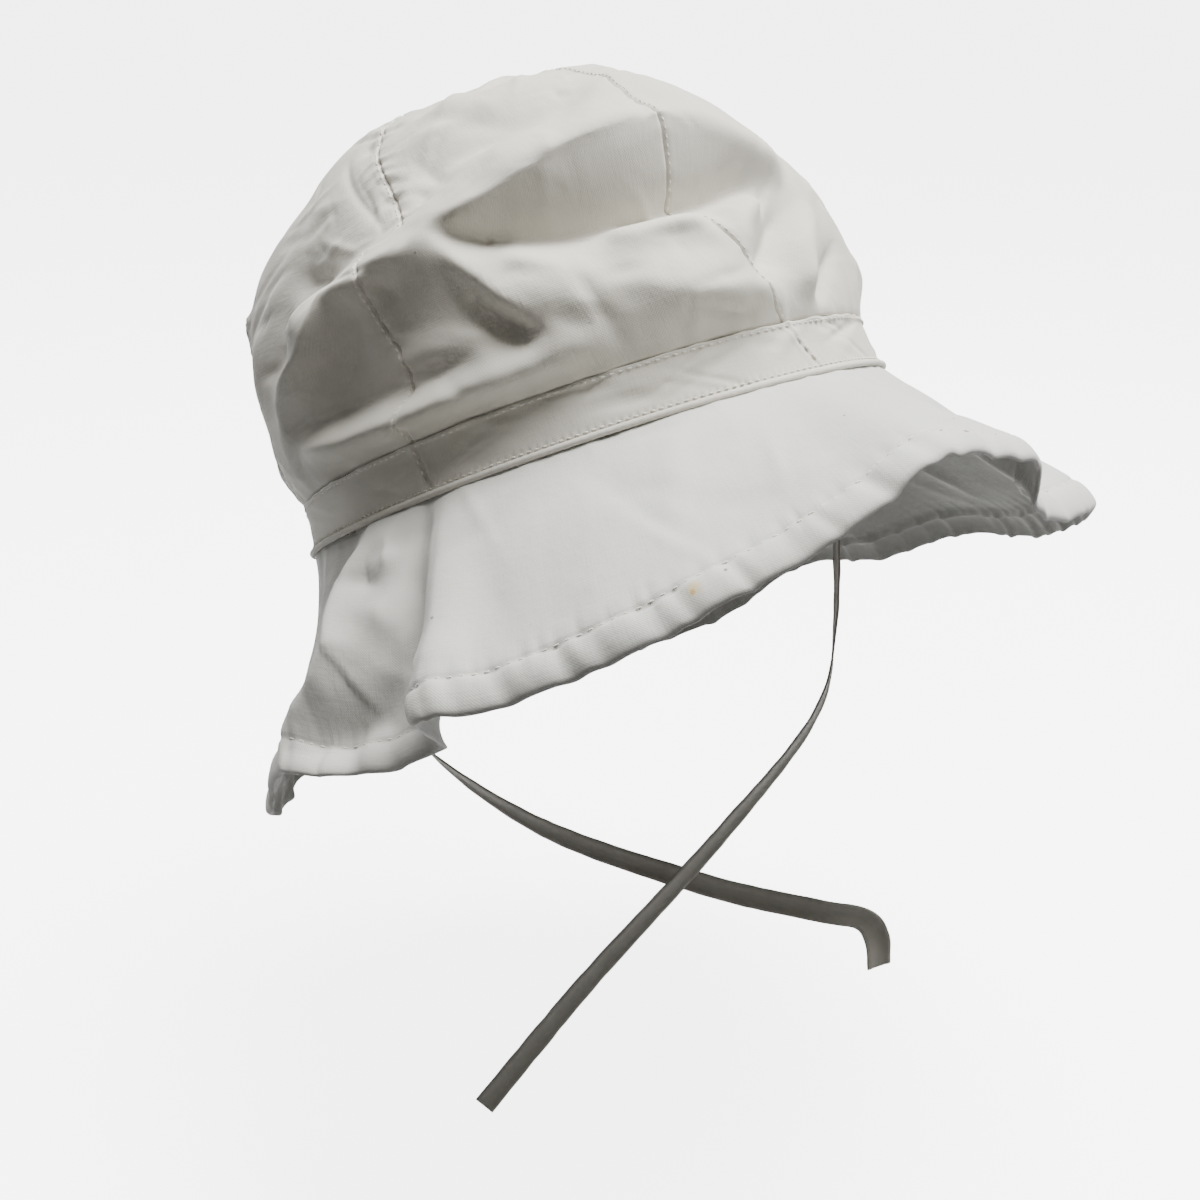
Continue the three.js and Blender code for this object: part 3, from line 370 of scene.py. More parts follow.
# Ties: points of the hanging tapes, from inside the band to the free end, with the azimuth that each faces
TIES = {
    "tie_left": [
        (0.0716, -0.0278, 0.0294, 63),
        (0.0716, -0.0335, 0.0188, 63),
        (0.0713, -0.0362, -0.01, 62),
        (0.07, -0.041, -0.056, 48),
        (0.06, -0.0435, -0.0854, 26),
        (0.031, -0.033, -0.1222, 8),
        (-0.012, -0.019, -0.1651, -6),
        (-0.034, -0.016, -0.183, -12),
        (-0.056, -0.0144, -0.1998, -14),
    ],
    "tie_right": [
        (-0.0395, 0.0781, -0.0269, -146),
        (-0.0395, 0.0724, -0.0375, -146),
        (-0.0385, 0.068, -0.06, -144),
        (-0.033, 0.056, -0.098, -128),
        (-0.008, 0.02, -0.128, -96),
        (0.028, -0.025, -0.145, -66),
        (0.055, -0.053, -0.153, -48),
        (0.0685, -0.0625, -0.1575, -42),
        (0.0738, -0.0652, -0.166, -30),
        (0.075, -0.0661, -0.1773, -18),
    ],
}

# Crown seams: the gap between two panels, the groove, the allowance and the topstitching on one side
SEAM_GAP = 0.00004
SEAM_GROOVE = 0.0006
SEAM_GROOVE_WIDTH = 0.00045
ALLOWANCE = 0.0026
ALLOWANCE_RAISE = 0.00005
TOPSTITCH_OFFSET = 0.0008
TOPSTITCH_DIP = 0.0001
TOPSTITCH_DIP_WIDTH = 0.0005
STITCHED_SIDE = [1, 1, -1, 1, -1, -1]

# Puckers of the crown seams and gathers over the band: length that they fill, how far apart, depth, reach
SEAM_LENGTH = 0.16
PUCKER_SPACING = 0.0052
PUCKER_DEPTH = [0.0005, 0.0007, 0.0007, 0.0007, 0.0007, 0.0013]
PUCKER_REACH = 0.003
BAND_LENGTH = 0.56
GATHER_SPACING = 0.0105
GATHER_DEPTH = 0.0005
GATHER_REACH = 0.0075
GATHER_MIDDLE = 0.0025

# Depths allowed at the crown's lower edge, and how much more for each metre above it
EDGE_DEPTH = 0.00035
EDGE_SLOPE = 1.2

# Band: the ridge and gathers of its upper edge, its dips at the stitches, its seams, and the piping below
RIDGE = 0.0007
RIDGE_WIDTH = 0.0006
RIDGE_DROP = 0.0002
BAND_GATHER = 0.00025
BAND_GATHER_REACH = 0.003
BAND_LIFT = 0.0004
STITCH_DIP = 0.00025
BAND_GROOVE = 0.0005
BAND_ALLOWANCE = 0.00025
# Azimuth of the crown's seams along the band's lower edge; along its upper edge they meet the crown's
BAND_SEAM_FEET = [4, 56, 113, 172, 231, 289.5]
PIPING_OUT = 0.0005
PIPING_HEIGHT = 0.0006
PIPING_SIDES = 10
PIPING_RIPPLE = 0.05

# Hem: its share of the brim, waves, puffs, dents, droop and groove, and the gathers at the brim's start
HEM_SHARE = HEM_WIDTH / BRIM_SLANT
HEM_WAVES = 0.88
HEM_PUCKER_SPACING = 0.0115
HEM_RIPPLE_SPACING = 0.006
HEM_PUFF = 0.0005
HEM_DENT = 0.0012
HEM_DROOP = 0.0018
HEM_GROOVE = 0.00035
HEM_GROOVE_WIDTH = 0.0007
HEM_DRAWN = 0.0005
BRIM_GATHER = 0.0004
BRIM_GATHER_REACH = 0.006

# Stitches: from one to the next, the share of that which shows, and half the thread's thickness
CROWN_PITCH = 0.0022
BAND_PITCH = 0.0022
BAND_TOP_PITCH = 0.0024
BAND_SEAM_PITCH = 0.0026
HEM_PITCH = 0.0031
CROWN_FILL = 0.68
BAND_FILL = 0.62
SEAM_FILL = 0.66
CROWN_THREAD = 0.00023
BAND_THREAD = 0.00026
HEM_THREAD = 0.00024
# How high a stitch arches and how deep its ends sink, by half its thread's thickness
STITCH_ARCH = 0.96
STITCH_SINK = 0.75

# Tapes: the stitched fold along both edges, and how they flutter
EDGE_FOLD = 0.0016
EDGE_STEP = 0.0003
TIE_LENGTH = 0.3
FLUTTER_SPACING = 0.012
FLUTTER = 0.00025

# Seeds of what is random
CROWN_SEED = 7
BAND_SEED = 12
BRIM_SEED = 19
TIE_SEEDS = {"tie_left": 31, "tie_right": 37}
SEAM_SEED = 50
GATHER_SEED = 71
HEM_SEEDS = (90, 91)

# Mesh and map resolution
PANEL_COLUMNS = 112
PANEL_ROWS = 176
MAP_COLUMNS = 960
MAP_ROWS = 200
MAP_LEVELS = 4
MAP_ROUNDS = 260
FOLD_SAMPLES = 80
FOLD_SOFTENING = 9
CREASE_SOFTNESS = 0.4
LEAST_RADIUS = 0.012
PROFILE_STEPS = 40
RING_COLUMNS = 900
BAND_ROWS = 26
BRIM_ROWS = 40
HEM_ROWS = 15
TIE_STEPS = 26
STITCH_SIDES = 6
STITCH_RINGS = 5

# Cloth: the threads' distance, the depth of weave and yarns, and how the panels lie on the flat cloth
THREAD_PITCH = 0.00036
WEAVE_DEPTH = 0.00006
YARN_DEPTH = 0.0002
CREASE_DEPTH = 0.0009
PLY_DEPTH = 0.00005
YARN_ALONG = 90.0
YARN_ACROSS = 1500.0
PANEL_WIDTH = math.radians(360 / PANELS) * HEAD_MEAN
PANEL_CLOTH_STEP = 0.3

# Colours
CREAM = (0.645, 0.625, 0.570, 1)
CREAM_SHADE = (0.600, 0.578, 0.515, 1)
# The brim's two colours are the crown's cotton painted cooler and a little darker: painted cool skylight
# and shade on the brim
BRIM_WHITE_PAINTED_SKYLIT = (0.615, 0.615, 0.590, 1)
BRIM_BLOTCH_PAINTED_SKYLIT = (0.580, 0.580, 0.552, 1)
# The tape colours are the hat's own cotton painted much darker: painted shade on the hanging ties, as a
# head beside them would cast
TAPE_IN_PAINTED_SHADE = (0.40, 0.38, 0.33, 1)
TAPE_BLOTCH_IN_PAINTED_SHADE = (0.36, 0.34, 0.29, 1)
THREAD_COLOUR = (0.78, 0.76, 0.70, 1)
YARN_SHADE = (0.80, 0.79, 0.74)

# Stains and specks: azimuth at the band, share of the way out, size, colour and strength
BRIM_MARKS = [
    (-34, 0.935, 0.0024, (0.62, 0.48, 0.24, 1), 0.75),
    (-34.3, 0.945, 0.0009, (0.50, 0.33, 0.12, 1), 0.80),
    (-30, 0.925, 0.0006, (0.10, 0.10, 0.11, 1), 0.9),
    (-6, 0.50, 0.0006, (0.12, 0.12, 0.12, 1), 0.9),
    (5, 0.69, 0.0006, (0.14, 0.14, 0.14, 1), 0.8),
    (1, 0.94, 0.0006, (0.14, 0.10, 0.12, 1), 0.8),
    (-68, 0.61, 0.0007, (0.13, 0.13, 0.13, 1), 0.9),
]
# The same on the right front panel: azimuth, height, size, colour and strength
CROWN_MARKS = [
    (-32, 0.0505, 0.0012, (0.42, 0.34, 0.46, 1), 0.55),
    (-31, 0.0500, 0.0007, (0.30, 0.22, 0.38, 1), 0.60),
    (-57, 0.0560, 0.0005, (0.25, 0.24, 0.22, 1), 0.70),
    (-36, 0.0270, 0.0005, (0.30, 0.28, 0.26, 1), 0.60),
]

# Camera: where it stands, and the way it looks
CAMERA_PLACE = (-0.31018, -0.36423, 0.15071)
CAMERA_AZIMUTH = -40.82
CAMERA_ELEVATION = 22.02
CAMERA_ROLL = 0.37
CAMERA_LENS = 49.4
SENSOR_WIDTH = 36
CLOSEST = 0.01
FLOOR_HEIGHT = -0.214
FLOOR_REACH = 30.0

# Light: how bright the surroundings are as light and as backdrop, and the lamps
AMBIENT = 0.11
BACKDROP = 5.0
FLOOR_GLOW = 5.0
LIGHT_AIM = (0, 0, 0.02)
LIGHTS = [
    # name, place, size, power, colour
    ("key", (0.22, -0.20, 1.25), 0.95, 58, (1.0, 0.985, 0.955)),
    ("window", (0.9, -0.9, 0.7), 0.6, 3.0, (0.95, 0.98, 1.0)),
    ("back", (-0.5, 0.8, 1.0), 0.7, 3.5, (1.0, 0.99, 0.97)),
]

rng = np.random.default_rng(CROWN_SEED)


# Small maths

def smooth_table(rows, column, period=None, turning=False):
    """Monotone cubic through one column of a table, by its first column."""
    at = np.array([row[0] for row in rows], float)
    value = np.array([row[column] for row in rows], float)
    if period:
        step = period if turning else 0
        at = np.concatenate([at[-2:] - period, at, at[:2] + period])
        value = np.concatenate([value[-2:] - step, value, value[:2] + step])
    slopes = np.diff(value) / np.diff(at)
    product = slopes[:-1] * slopes[1:]
    total = np.where(product > 0, slopes[:-1] + slopes[1:], 1)
    inner = np.where(product > 0, 2 * product / total, 0)
    tangents = np.concatenate([slopes[:1], inner, slopes[-1:]])

    def read(where):
        where = np.asarray(where, float)
        if period:
            where = (where - rows[0][0]) % period + rows[0][0]
        i = np.clip(np.searchsorted(at, where, side="right") - 1, 0, len(at) - 2)
        span = at[i + 1] - at[i]
        u = np.clip((where - at[i]) / span, 0, 1)
        rise = u * u * (3 - 2 * u)
        leave = u * (1 - u) ** 2 * span * tangents[i]
        arrive = u * u * (u - 1) * span * tangents[i + 1]
        return value[i] * (1 - rise) + value[i + 1] * rise + leave + arrive

    return read


def catmull_line(points, per_span):
    """Points along a Catmull-Rom curve through the given ones."""
    p = np.array(points, float)
    padded = np.vstack([2 * p[0] - p[1], p, 2 * p[-1] - p[-2]])
    t = np.linspace(0, 1, per_span, endpoint=False)[:, None]
    spans = []
    for a, b, c, d in zip(padded, padded[1:], padded[2:], padded[3:]):
        square = (2 * a - 5 * b + 4 * c - d) * t**2
        cube = (3 * b - a - 3 * c + d) * t**3
        spans.append(0.5 * (2 * b + (c - a) * t + square + cube))
    return np.vstack(spans + [p[-1:]])


def along(points):
    """Distance along a line of points, from its first."""
    steps = np.linalg.norm(np.diff(points, axis=0), axis=1)
    return np.concatenate([[0], np.cumsum(steps)])


def on_ellipse(azimuth, half_width, half_length, height):
    a = np.radians(azimuth)
    return np.stack(np.broadcast_arrays(half_width * np.sin(a), -half_length * np.cos(a), height), -1)


def on_band(azimuth, out, height):
    """A point beside the head's ellipse at the band."""
    return on_ellipse(azimuth, HEAD_HALF_WIDTH + out, HEAD_HALF_LENGTH + out, height)


def unit(v):
    return v / np.maximum(np.linalg.norm(v, axis=-1, keepdims=True), 1e-12)


def normals_of(surface, u, v, step_u, step_v):
    across = surface(u + step_u, v) - surface(u - step_u, v)
    up = surface(u, v + step_v) - surface(u, v - step_v)
    return unit(np.cross(across, up))


def tilted(points):
    """From the hat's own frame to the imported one, in which the hat leans back."""
    a = math.radians(-WORN_TILT)
    turn = np.array([[1, 0, 0], [0, math.cos(a), -math.sin(a)], [0, math.sin(a), math.cos(a)]])
    return np.asarray(points) @ turn.T


def smooth_step(x, low, high):
    t = np.clip((x - low) / (high - low), 0, 1)
    return t * t * (3 - 2 * t)


def hump(distance, width):
    """One in the middle, falling off to both sides."""
    return np.exp(-((distance / width) ** 2))


def wrinkle(random, x, y, lean, kind, amounts):
    """One random wrinkle at places x along and y up from its middle."""
    _, deepest, shortest, longest, narrowest, widest = kind
    beside = (y * math.cos(lean) - x * math.sin(lean)) / random.uniform(narrowest, widest)
    ahead = (x * math.cos(lean) + y * math.sin(lean)) / random.uniform(shortest, longest)
    return deepest * random.uniform(*amounts) * np.exp(-(beside**2) - ahead**2)


def puckers(length, spacing, seed):
    """Irregular little waves along a seam, mostly between 0 and 1, by the distance along it."""
    random = np.random.default_rng(seed)
    count = max(int(length / spacing), 2)
    at = (np.arange(count) + random.uniform(-0.3, 0.3, count)) * length / count
    size = random.uniform(0.35, 1.0, count)
    width = spacing * random.uniform(0.16, 0.34, count)

    def read(where):
        where = np.asarray(where, float) % length
        gap = (where[..., None] - at + length / 2) % length - length / 2
        return (size * hump(gap, width)).sum(-1)

    return read


# Crown surface

profile = catmull_line([(share * HEAD_MEAN, height) for height, share in CROWN_PROFILE], PROFILE_STEPS)
profile_rise = along(profile)
CROWN_RISE = profile_rise[-1]
CROWN_TOP = CROWN_PROFILE[-1][0]


def section_at(rise):
    return np.interp(rise, profile_rise, profile[:, 0]), np.interp(rise, profile_rise, profile[:, 1])


def rise_at(height):
    return np.interp(height, profile[:, 1], profile_rise)


def plain_crown(azimuth, rise):
    radius, height = section_at(rise)
    leaning = (height - BAND_HEIGHT) / (CROWN_TOP - BAND_HEIGHT)
    flat = 1 - np.cos(PANELS * np.radians(azimuth + 9))
    share = radius / HEAD_MEAN * (1 - PANEL_FLATNESS * flat * np.sin(np.pi * leaning))
    point = on_ellipse(azimuth, HEAD_HALF_WIDTH * share, HEAD_HALF_LENGTH * share, height)
    point[..., 0] += CROWN_LEAN[0] * leaning
    point[..., 1] += CROWN_LEAN[1] * leaning
    return point


def with_rise(points):
    """A line's points with the way up along the profile in place of the height."""
    return [(azimuth, rise_at(height), amount) for azimuth, height, amount in points]


def fold_samples():
    """Azimuth, rise and depth of close points along every fold."""
    share = np.linspace(0, 1, FOLD_SAMPLES)
    found = []
    for points in CROWN_FOLDS.values():
        line = with_rise(points)
        for start, end in zip(line, line[1:]):
            found.append([low + (high - low) * share for low, high in zip(start, end)])
    return np.concatenate(found, axis=1)


def relief_map():
    """The cloth's distance from the plain crown: a taut skin over the ridges and hollows, then softened."""
    azimuth, rise, depth = fold_samples()
    skin = np.zeros((MAP_ROWS >> (MAP_LEVELS - 1), MAP_COLUMNS >> (MAP_LEVELS - 1)))
    for level in reversed(range(MAP_LEVELS)):
        rows, columns = MAP_ROWS >> level, MAP_COLUMNS >> level
        while skin.shape[0] < rows:
            skin = np.repeat(np.repeat(skin, 2, axis=0), 2, axis=1)
        skin = skin[:rows, :columns]
        row = np.clip((rise / CROWN_RISE * (rows - 1)).round().astype(int), 0, rows - 1)
        column = (azimuth / 360 * columns).round().astype(int) % columns
        total, count = np.zeros((rows, columns)), np.zeros((rows, columns))
        np.add.at(total, (row, column), depth)
        np.add.at(count, (row, column), 1)
        held = count > 0
        held_value = total / np.maximum(count, 1)
        radius, _ = section_at(np.linspace(0, CROWN_RISE, rows))
        across = (1 / (np.maximum(radius, LEAST_RADIUS) * math.tau / columns) ** 2)[:, None]
        up = 1 / (CROWN_RISE / (rows - 1)) ** 2
        for _ in range(MAP_ROUNDS):
            skin = np.where(held, held_value, skin)
            above = np.vstack([skin[1:], skin[-1:]])
            below = np.vstack([np.zeros((1, columns)), skin[:-1]])
            beside = np.roll(skin, 1, axis=1) + np.roll(skin, -1, axis=1)
            skin = (across * beside + up * (above + below)) / (2 * across + 2 * up)
        skin = np.where(held, held_value, skin)
    for _ in range(FOLD_SOFTENING):
        skin = softened(skin)
    return skin


def softened(grid):
    """Every cell averaged with its neighbours."""
    grid = (np.roll(grid, 1, axis=1) + 2 * grid + np.roll(grid, -1, axis=1)) / 4
    above = np.vstack([grid[1:], grid[-1:]])
    below = np.vstack([grid[:1], grid[:-1]])
    return (above + 2 * grid + below) / 4


def map_places():
    """Azimuth, rise and crown radius of every cell of the map."""
    rise = np.linspace(0, CROWN_RISE, MAP_ROWS)[:, None]
    azimuth = (np.arange(MAP_COLUMNS) * 360 / MAP_COLUMNS)[None, :]
    return azimuth, rise, np.maximum(section_at(rise)[0], LEAST_RADIUS)


def signed_turn(azimuth):
    """An azimuth as a turn of at most 180 degrees either way."""
    return (azimuth + 180) % 360 - 180


def near_line(azimuth, up, radius, points):
    """Distance to a line, the line's value at its nearest point, and whether the place is above it."""
    nearest = np.full(np.broadcast(azimuth, up).shape, 1.0)
    value = np.zeros_like(nearest)
    above = np.zeros(nearest.shape, bool)
    for (from_azimuth, from_up, amount), (to_azimuth, to_up, to_amount) in zip(points, points[1:]):
        x = np.radians(signed_turn(azimuth - from_azimuth)) * radius
        y = up - from_up
        end_x = np.radians(to_azimuth - from_azimuth) * radius
        end_y = to_up - from_up
        share = np.clip((x * end_x + y * end_y) / (end_x**2 + end_y**2), 0, 1)
        distance = np.hypot(x - share * end_x, y - share * end_y)
        closer = distance < nearest
        nearest = np.where(closer, distance, nearest)
        value = np.where(closer, amount + (to_amount - amount) * share, value)
        above = np.where(closer, y > share * end_y, above)
    return nearest, value, above


def crease_shape(distance, width):
    """One at the line, falling off to both sides, with a slightly rounded top."""
    soft = CREASE_SOFTNESS * width
    return np.exp(-(np.hypot(distance, soft) - soft) / width)


def crease_map():
    """Depth of the sharp creases in every cell of the map."""
    sheet = np.zeros((MAP_ROWS, MAP_COLUMNS))
    for width, points in CROWN_CREASES.values():
        distance, depth, _ = near_line(*map_places(), with_rise(points))
        sheet += depth * crease_shape(distance, width)
    return sheet


def slip_map():
    """How far the cloth slips up, in every cell of the map."""
    sheet = np.zeros((MAP_ROWS, MAP_COLUMNS))
    for reach_above, reach_below, points in CROWN_SLIPS.values():
        distance, slip, above = near_line(*map_places(), with_rise(points))
        sheet += slip * hump(distance, np.where(above, reach_above, reach_below))
    return softened(softened(sheet))


def wrinkle_map():
    """Short shallow wrinkles all over the crown."""
    azimuth, rise, radius = map_places()
    sheet = np.zeros((MAP_ROWS, MAP_COLUMNS))
    for kind in WRINKLES:
        for _ in range(kind[0]):
            x = np.radians(signed_turn(azimuth - rng.uniform(0, 360))) * radius
            y = rise - rng.uniform(LOWEST_WRINKLE, HIGHEST_WRINKLE) * CROWN_RISE
            sheet += wrinkle(rng, x, y, rng.normal(0.15, 0.75), kind, (-1, 0.7))
    return sheet


def joined_to_band(sheet):
    """Depths held so small near the band that the panels' lower edges meet it."""
    _, rise, _ = map_places()
    deepest = EDGE_DEPTH + EDGE_SLOPE * rise
    return np.clip(sheet, -deepest, deepest)


RELIEF = joined_to_band(relief_map() + crease_map() + wrinkle_map())
SLIP = slip_map()


def read_map(grid, azimuth, rise):
    """A map's value between its cells."""
    column = (np.asarray(azimuth, float) % 360) / 360 * MAP_COLUMNS
    row = np.clip(np.asarray(rise, float) / CROWN_RISE * (MAP_ROWS - 1), 0, MAP_ROWS - 1.001)
    c, r = np.floor(column).astype(int), np.floor(row).astype(int)
    u, v = column - c, row - r
    c, following = c % MAP_COLUMNS, (c + 1) % MAP_COLUMNS
    low = grid[r, c] * (1 - u) + grid[r, following] * u
    high = grid[r + 1, c] * (1 - u) + grid[r + 1, following] * u
    return low * (1 - v) + high * v


def crown_surface(azimuth, rise):
    """A point of the crumpled crown, without the fine relief of its seams."""
    point = plain_crown(azimuth, rise)
    normal = normals_of(plain_crown, azimuth, rise, 0.5, 0.0005)
    point = point + normal * read_map(RELIEF, azimuth, rise)[..., None]
    point[..., 2] += read_map(SLIP, azimuth, rise)
    return point


seam_at_height = [smooth_table(SEAM_COURSES, i + 1) for i in range(PANELS)]


def seam_azimuth(index, rise):
    """Azimuth of a seam; the seam after the last is the first, one turn on."""
    _, height = section_at(rise)
    return seam_at_height[index % PANELS](height) + 360 * (index // PANELS)


# Meshes

def mesh_object(name, points, faces, uvs, material):
    """A mesh from points, four-cornered faces and the cloth coordinates of each face's corners."""
    mesh = bpy.data.meshes.new(name)
    mesh.vertices.add(len(points))
    mesh.vertices.foreach_set("co", np.ascontiguousarray(points, np.float32).ravel())
    mesh.loops.add(faces.size)
    mesh.loops.foreach_set("vertex_index", np.ascontiguousarray(faces, np.int32).ravel())
    mesh.polygons.add(len(faces))
    mesh.polygons.foreach_set("loop_start", np.arange(0, faces.size, faces.shape[1], dtype=np.int32))
    mesh.polygons.foreach_set("use_smooth", np.full(len(faces), True))
    layer = mesh.uv_layers.new(name="cloth")
    layer.data.foreach_set("uv", np.ascontiguousarray(uvs, np.float32).ravel())
    mesh.update(calc_edges=True)
    mesh.validate()
    mesh.materials.append(material)
    obj = bpy.data.objects.new(name, mesh)
    bpy.context.scene.collection.objects.link(obj)
    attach(obj, "root")
    return obj


def grid_faces(rows, columns, ring):
    """Faces of a grid whose columns go round, and each corner's row and column before they start again."""
    r = np.arange(rows if ring else rows - 1)
    r, c = np.meshgrid(r, np.arange(columns), indexing="ij")
    corner_rows = np.stack([r, r, r + 1, r + 1], -1).reshape(-1, 4)
    corner_columns = np.stack([c, c + 1, c + 1, c], -1).reshape(-1, 4)
    faces = (corner_rows % rows) * columns + corner_columns % columns
    return faces, corner_rows, corner_columns


def end_faces(rows, columns):
    """Faces that close both ends of a flat tube whose rows go round it: there along its face, and back."""
    k = np.arange(columns // 2 - 1)
    ring = np.stack([k, k + 1, columns - 2 - k, columns - 1 - k], -1)
    return np.vstack([ring[:, ::-1], ring + (rows - 1) * columns])


def grid_object(name, points, u, v, material, ring=False):
    """A mesh of a grid whose columns go round: a ring, whose rows do so too, or a flat tube with closed
    ends. u and v are the cloth coordinates of columns and rows, one more of them where they go round."""
    rows, columns = points.shape[:2]
    faces, corner_rows, corner_columns = grid_faces(rows, columns, ring)
    if not ring:
        closing = end_faces(rows, columns)
        faces = np.vstack([faces, closing])
        corner_rows = np.vstack([corner_rows, closing // columns])
        corner_columns = np.vstack([corner_columns, closing % columns])
    uvs = np.stack([np.asarray(u)[corner_columns], np.asarray(v)[corner_rows]], -1)
    return mesh_object(name, points.reshape(-1, 3), faces, uvs, material)


# Materials

class Nodes:
    """Short forms for building a material's node tree."""

    def __init__(self, name):
        self.material = bpy.data.materials.new(name)
        self.material.use_nodes = True
        self.tree = self.material.node_tree
        self.shader = self.tree.nodes["Principled BSDF"]

    def add(self, kind, inputs=None, **settings):
        node = self.tree.nodes.new("ShaderNode" + kind)
        for key, value in settings.items():
            setattr(node, key, value)
        for key, value in (inputs or {}).items():
            if isinstance(value, bpy.types.NodeSocket):
                self.tree.links.new(value, node.inputs[key])
            else:
                node.inputs[key].default_value = value
        return node

    def maths(self, operation, a, b=0.0, c=0.0):
        return self.add("Math", {0: a, 1: b, 2: c}, operation=operation).outputs[0]

    def noise(self, vector, scale, detail=2.0, roughness=0.5):
        sockets = {"Vector": vector, "Scale": scale, "Detail": detail, "Roughness": roughness}
        return self.add("TexNoise", sockets).outputs["Fac"]

    def ranged(self, value, low, high, to_low=0.0, to_high=1.0):
        sockets = {"Value": value, "From Min": low, "From Max": high, "To Min": to_low, "To Max": to_high}
        return self.add("MapRange", sockets).outputs["Result"]

    def mixed(self, amount, a, b):
        node = self.add("Mix", data_type="RGBA")
        for socket, value in ((node.inputs[0], amount), (node.inputs[6], a), (node.inputs[7], b)):
            if isinstance(value, bpy.types.NodeSocket):
                self.tree.links.new(value, socket)
            else:
                socket.default_value = value
        return node.outputs[2]

    def bump(self, height, distance, strength, normal=None):
        sockets = {"Height": height, "Distance": distance, "Strength": strength}
        if normal:
            sockets["Normal"] = normal
        return self.add("Bump", sockets).outputs[0]

    def link(self, value, name):
        self.tree.links.new(value, self.shader.inputs[name])

    def settle(self, constants):
        for name, value in constants.items():
            self.shader.inputs[name].default_value = value


def cotton(name, base, shade, marks=()):
    """Off-white plain weave: threads over and under each other, uneven yarn, soft creases, a few marks."""
    n = Nodes(name)
    uv = n.add("UVMap", uv_map="cloth").outputs["UV"]
    parts = n.add("SeparateXYZ", {"Vector": uv})
    u, v = parts.outputs["X"], parts.outputs["Y"]
    warp = n.maths("SINE", n.maths("MULTIPLY", u, math.pi / THREAD_PITCH))
    weft = n.maths("SINE", n.maths("MULTIPLY", v, math.pi / THREAD_PITCH))
    weave = n.maths("MULTIPLY", warp, weft)
    yarns = []
    for scale_u, scale_v in ((YARN_ALONG, YARN_ACROSS), (YARN_ACROSS, YARN_ALONG)):
        scaled = {"X": n.maths("MULTIPLY", u, scale_u), "Y": n.maths("MULTIPLY", v, scale_v)}
        yarns.append(n.noise(n.add("CombineXYZ", scaled).outputs[0], 1.0, 3.0, 0.6))
    slub = n.maths("ADD", *yarns)
    crease = n.noise(uv, 150.0, 3.0, 0.55)

    blotch = n.ranged(n.noise(uv, 22.0, 4.0, 0.6), 0.38, 0.68)
    colour = n.mixed(blotch, base, shade)
    yarn_colour = tuple(tone * share for tone, share in zip(base, YARN_SHADE)) + (1,)
    colour = n.mixed(n.ranged(slub, 0.8, 1.25, 0.0, 0.06), colour, yarn_colour)
    for u_at, v_at, size, tint, strength in marks:
        gap = n.add("VectorMath", {0: uv, 1: (u_at, v_at, 0)}, operation="DISTANCE").outputs["Value"]
        wobble = n.noise(uv, 900.0, 2.0, 0.6)
        gap = n.maths("ADD", gap, n.maths("MULTIPLY", n.maths("SUBTRACT", wobble, 0.5), size))
        spot = n.ranged(gap, size * 0.35, size, strength, 0.0)
        colour = n.mixed(spot, colour, tint)
    n.link(colour, "Base Color")

    normal = n.bump(weave, WEAVE_DEPTH, 0.22)
    normal = n.bump(slub, YARN_DEPTH, 0.28, normal)
    normal = n.bump(crease, CREASE_DEPTH, 0.28, normal)
    n.link(normal, "Normal")
    n.link(n.ranged(slub, 0.7, 1.3, 0.82, 0.94), "Roughness")
    n.settle({"Specular IOR Level": 0.18, "Sheen Weight": 0.12, "Sheen Roughness": 0.45})
    return n.material


def thread(name, colour):
    """Twisted sewing thread."""
    n = Nodes(name)
    uv = n.add("UVMap", uv_map="cloth").outputs["UV"]
    parts = n.add("SeparateXYZ", {"Vector": uv})
    around = n.maths("MULTIPLY", parts.outputs["X"], 6.0)
    down = n.maths("MULTIPLY", parts.outputs["Y"], 9000.0)
    ply = n.maths("SINE", n.maths("ADD", around, down))
    tone = n.ranged(ply, -1.0, 1.0)
    # The twist's grooves are painted 14% darker: painted shade in the thread's ply
    n.link(n.mixed(tone, tuple(0.86 * c for c in colour[:3]) + (1,), colour), "Base Color")
    n.link(n.bump(ply, PLY_DEPTH, 0.5), "Normal")
    n.settle({"Roughness": 0.62, "Specular IOR Level": 0.25})
    return n.material


def floor_material():
    """Plain and pale, and bright enough to meet the backdrop."""
    n = Nodes("pale_floor")
    place = n.add("NewGeometry").outputs["Position"]
    tone = n.ranged(n.noise(place, 6.0), 0.3, 0.7)
    n.link(n.mixed(tone, (0.90, 0.90, 0.90, 1), (0.93, 0.93, 0.93, 1)), "Base Color")
    n.settle({"Roughness": 0.9, "Emission Color": (1, 1, 1, 1), "Emission Strength": FLOOR_GLOW})
    return n.material


def brim_mark(azimuth, share, *look):
    """Where a mark lies on the brim's flat cloth."""
    return (azimuth - BRIM_FLUTES[0][0]) / 360 * BRIM_CLOTH_LENGTH, share * BRIM_SLANT, *look


def crown_mark(azimuth, height, *look):
    """Where a mark lies on the last panel's flat cloth."""
    last = PANELS - 1
    rise = rise_at(height)
    start, end = seam_azimuth(last, rise) - 360, seam_azimuth(last + 1, rise) - 360
    share = float((azimuth - start) / (end - start))
    return last * PANEL_CLOTH_STEP + share * PANEL_WIDTH, float(rise), *look


crown_cotton = cotton("crown_cotton", CREAM, CREAM_SHADE, [crown_mark(*row) for row in CROWN_MARKS])
band_cotton = cotton("band_cotton", CREAM, CREAM_SHADE)
# The brim's cotton carries painted cool skylight and shade in its colours
brim_cotton_painted_skylight = cotton("brim_cotton_painted_skylight", BRIM_WHITE_PAINTED_SKYLIT, BRIM_BLOTCH_PAINTED_SKYLIT, [brim_mark(*row) for row in BRIM_MARKS])
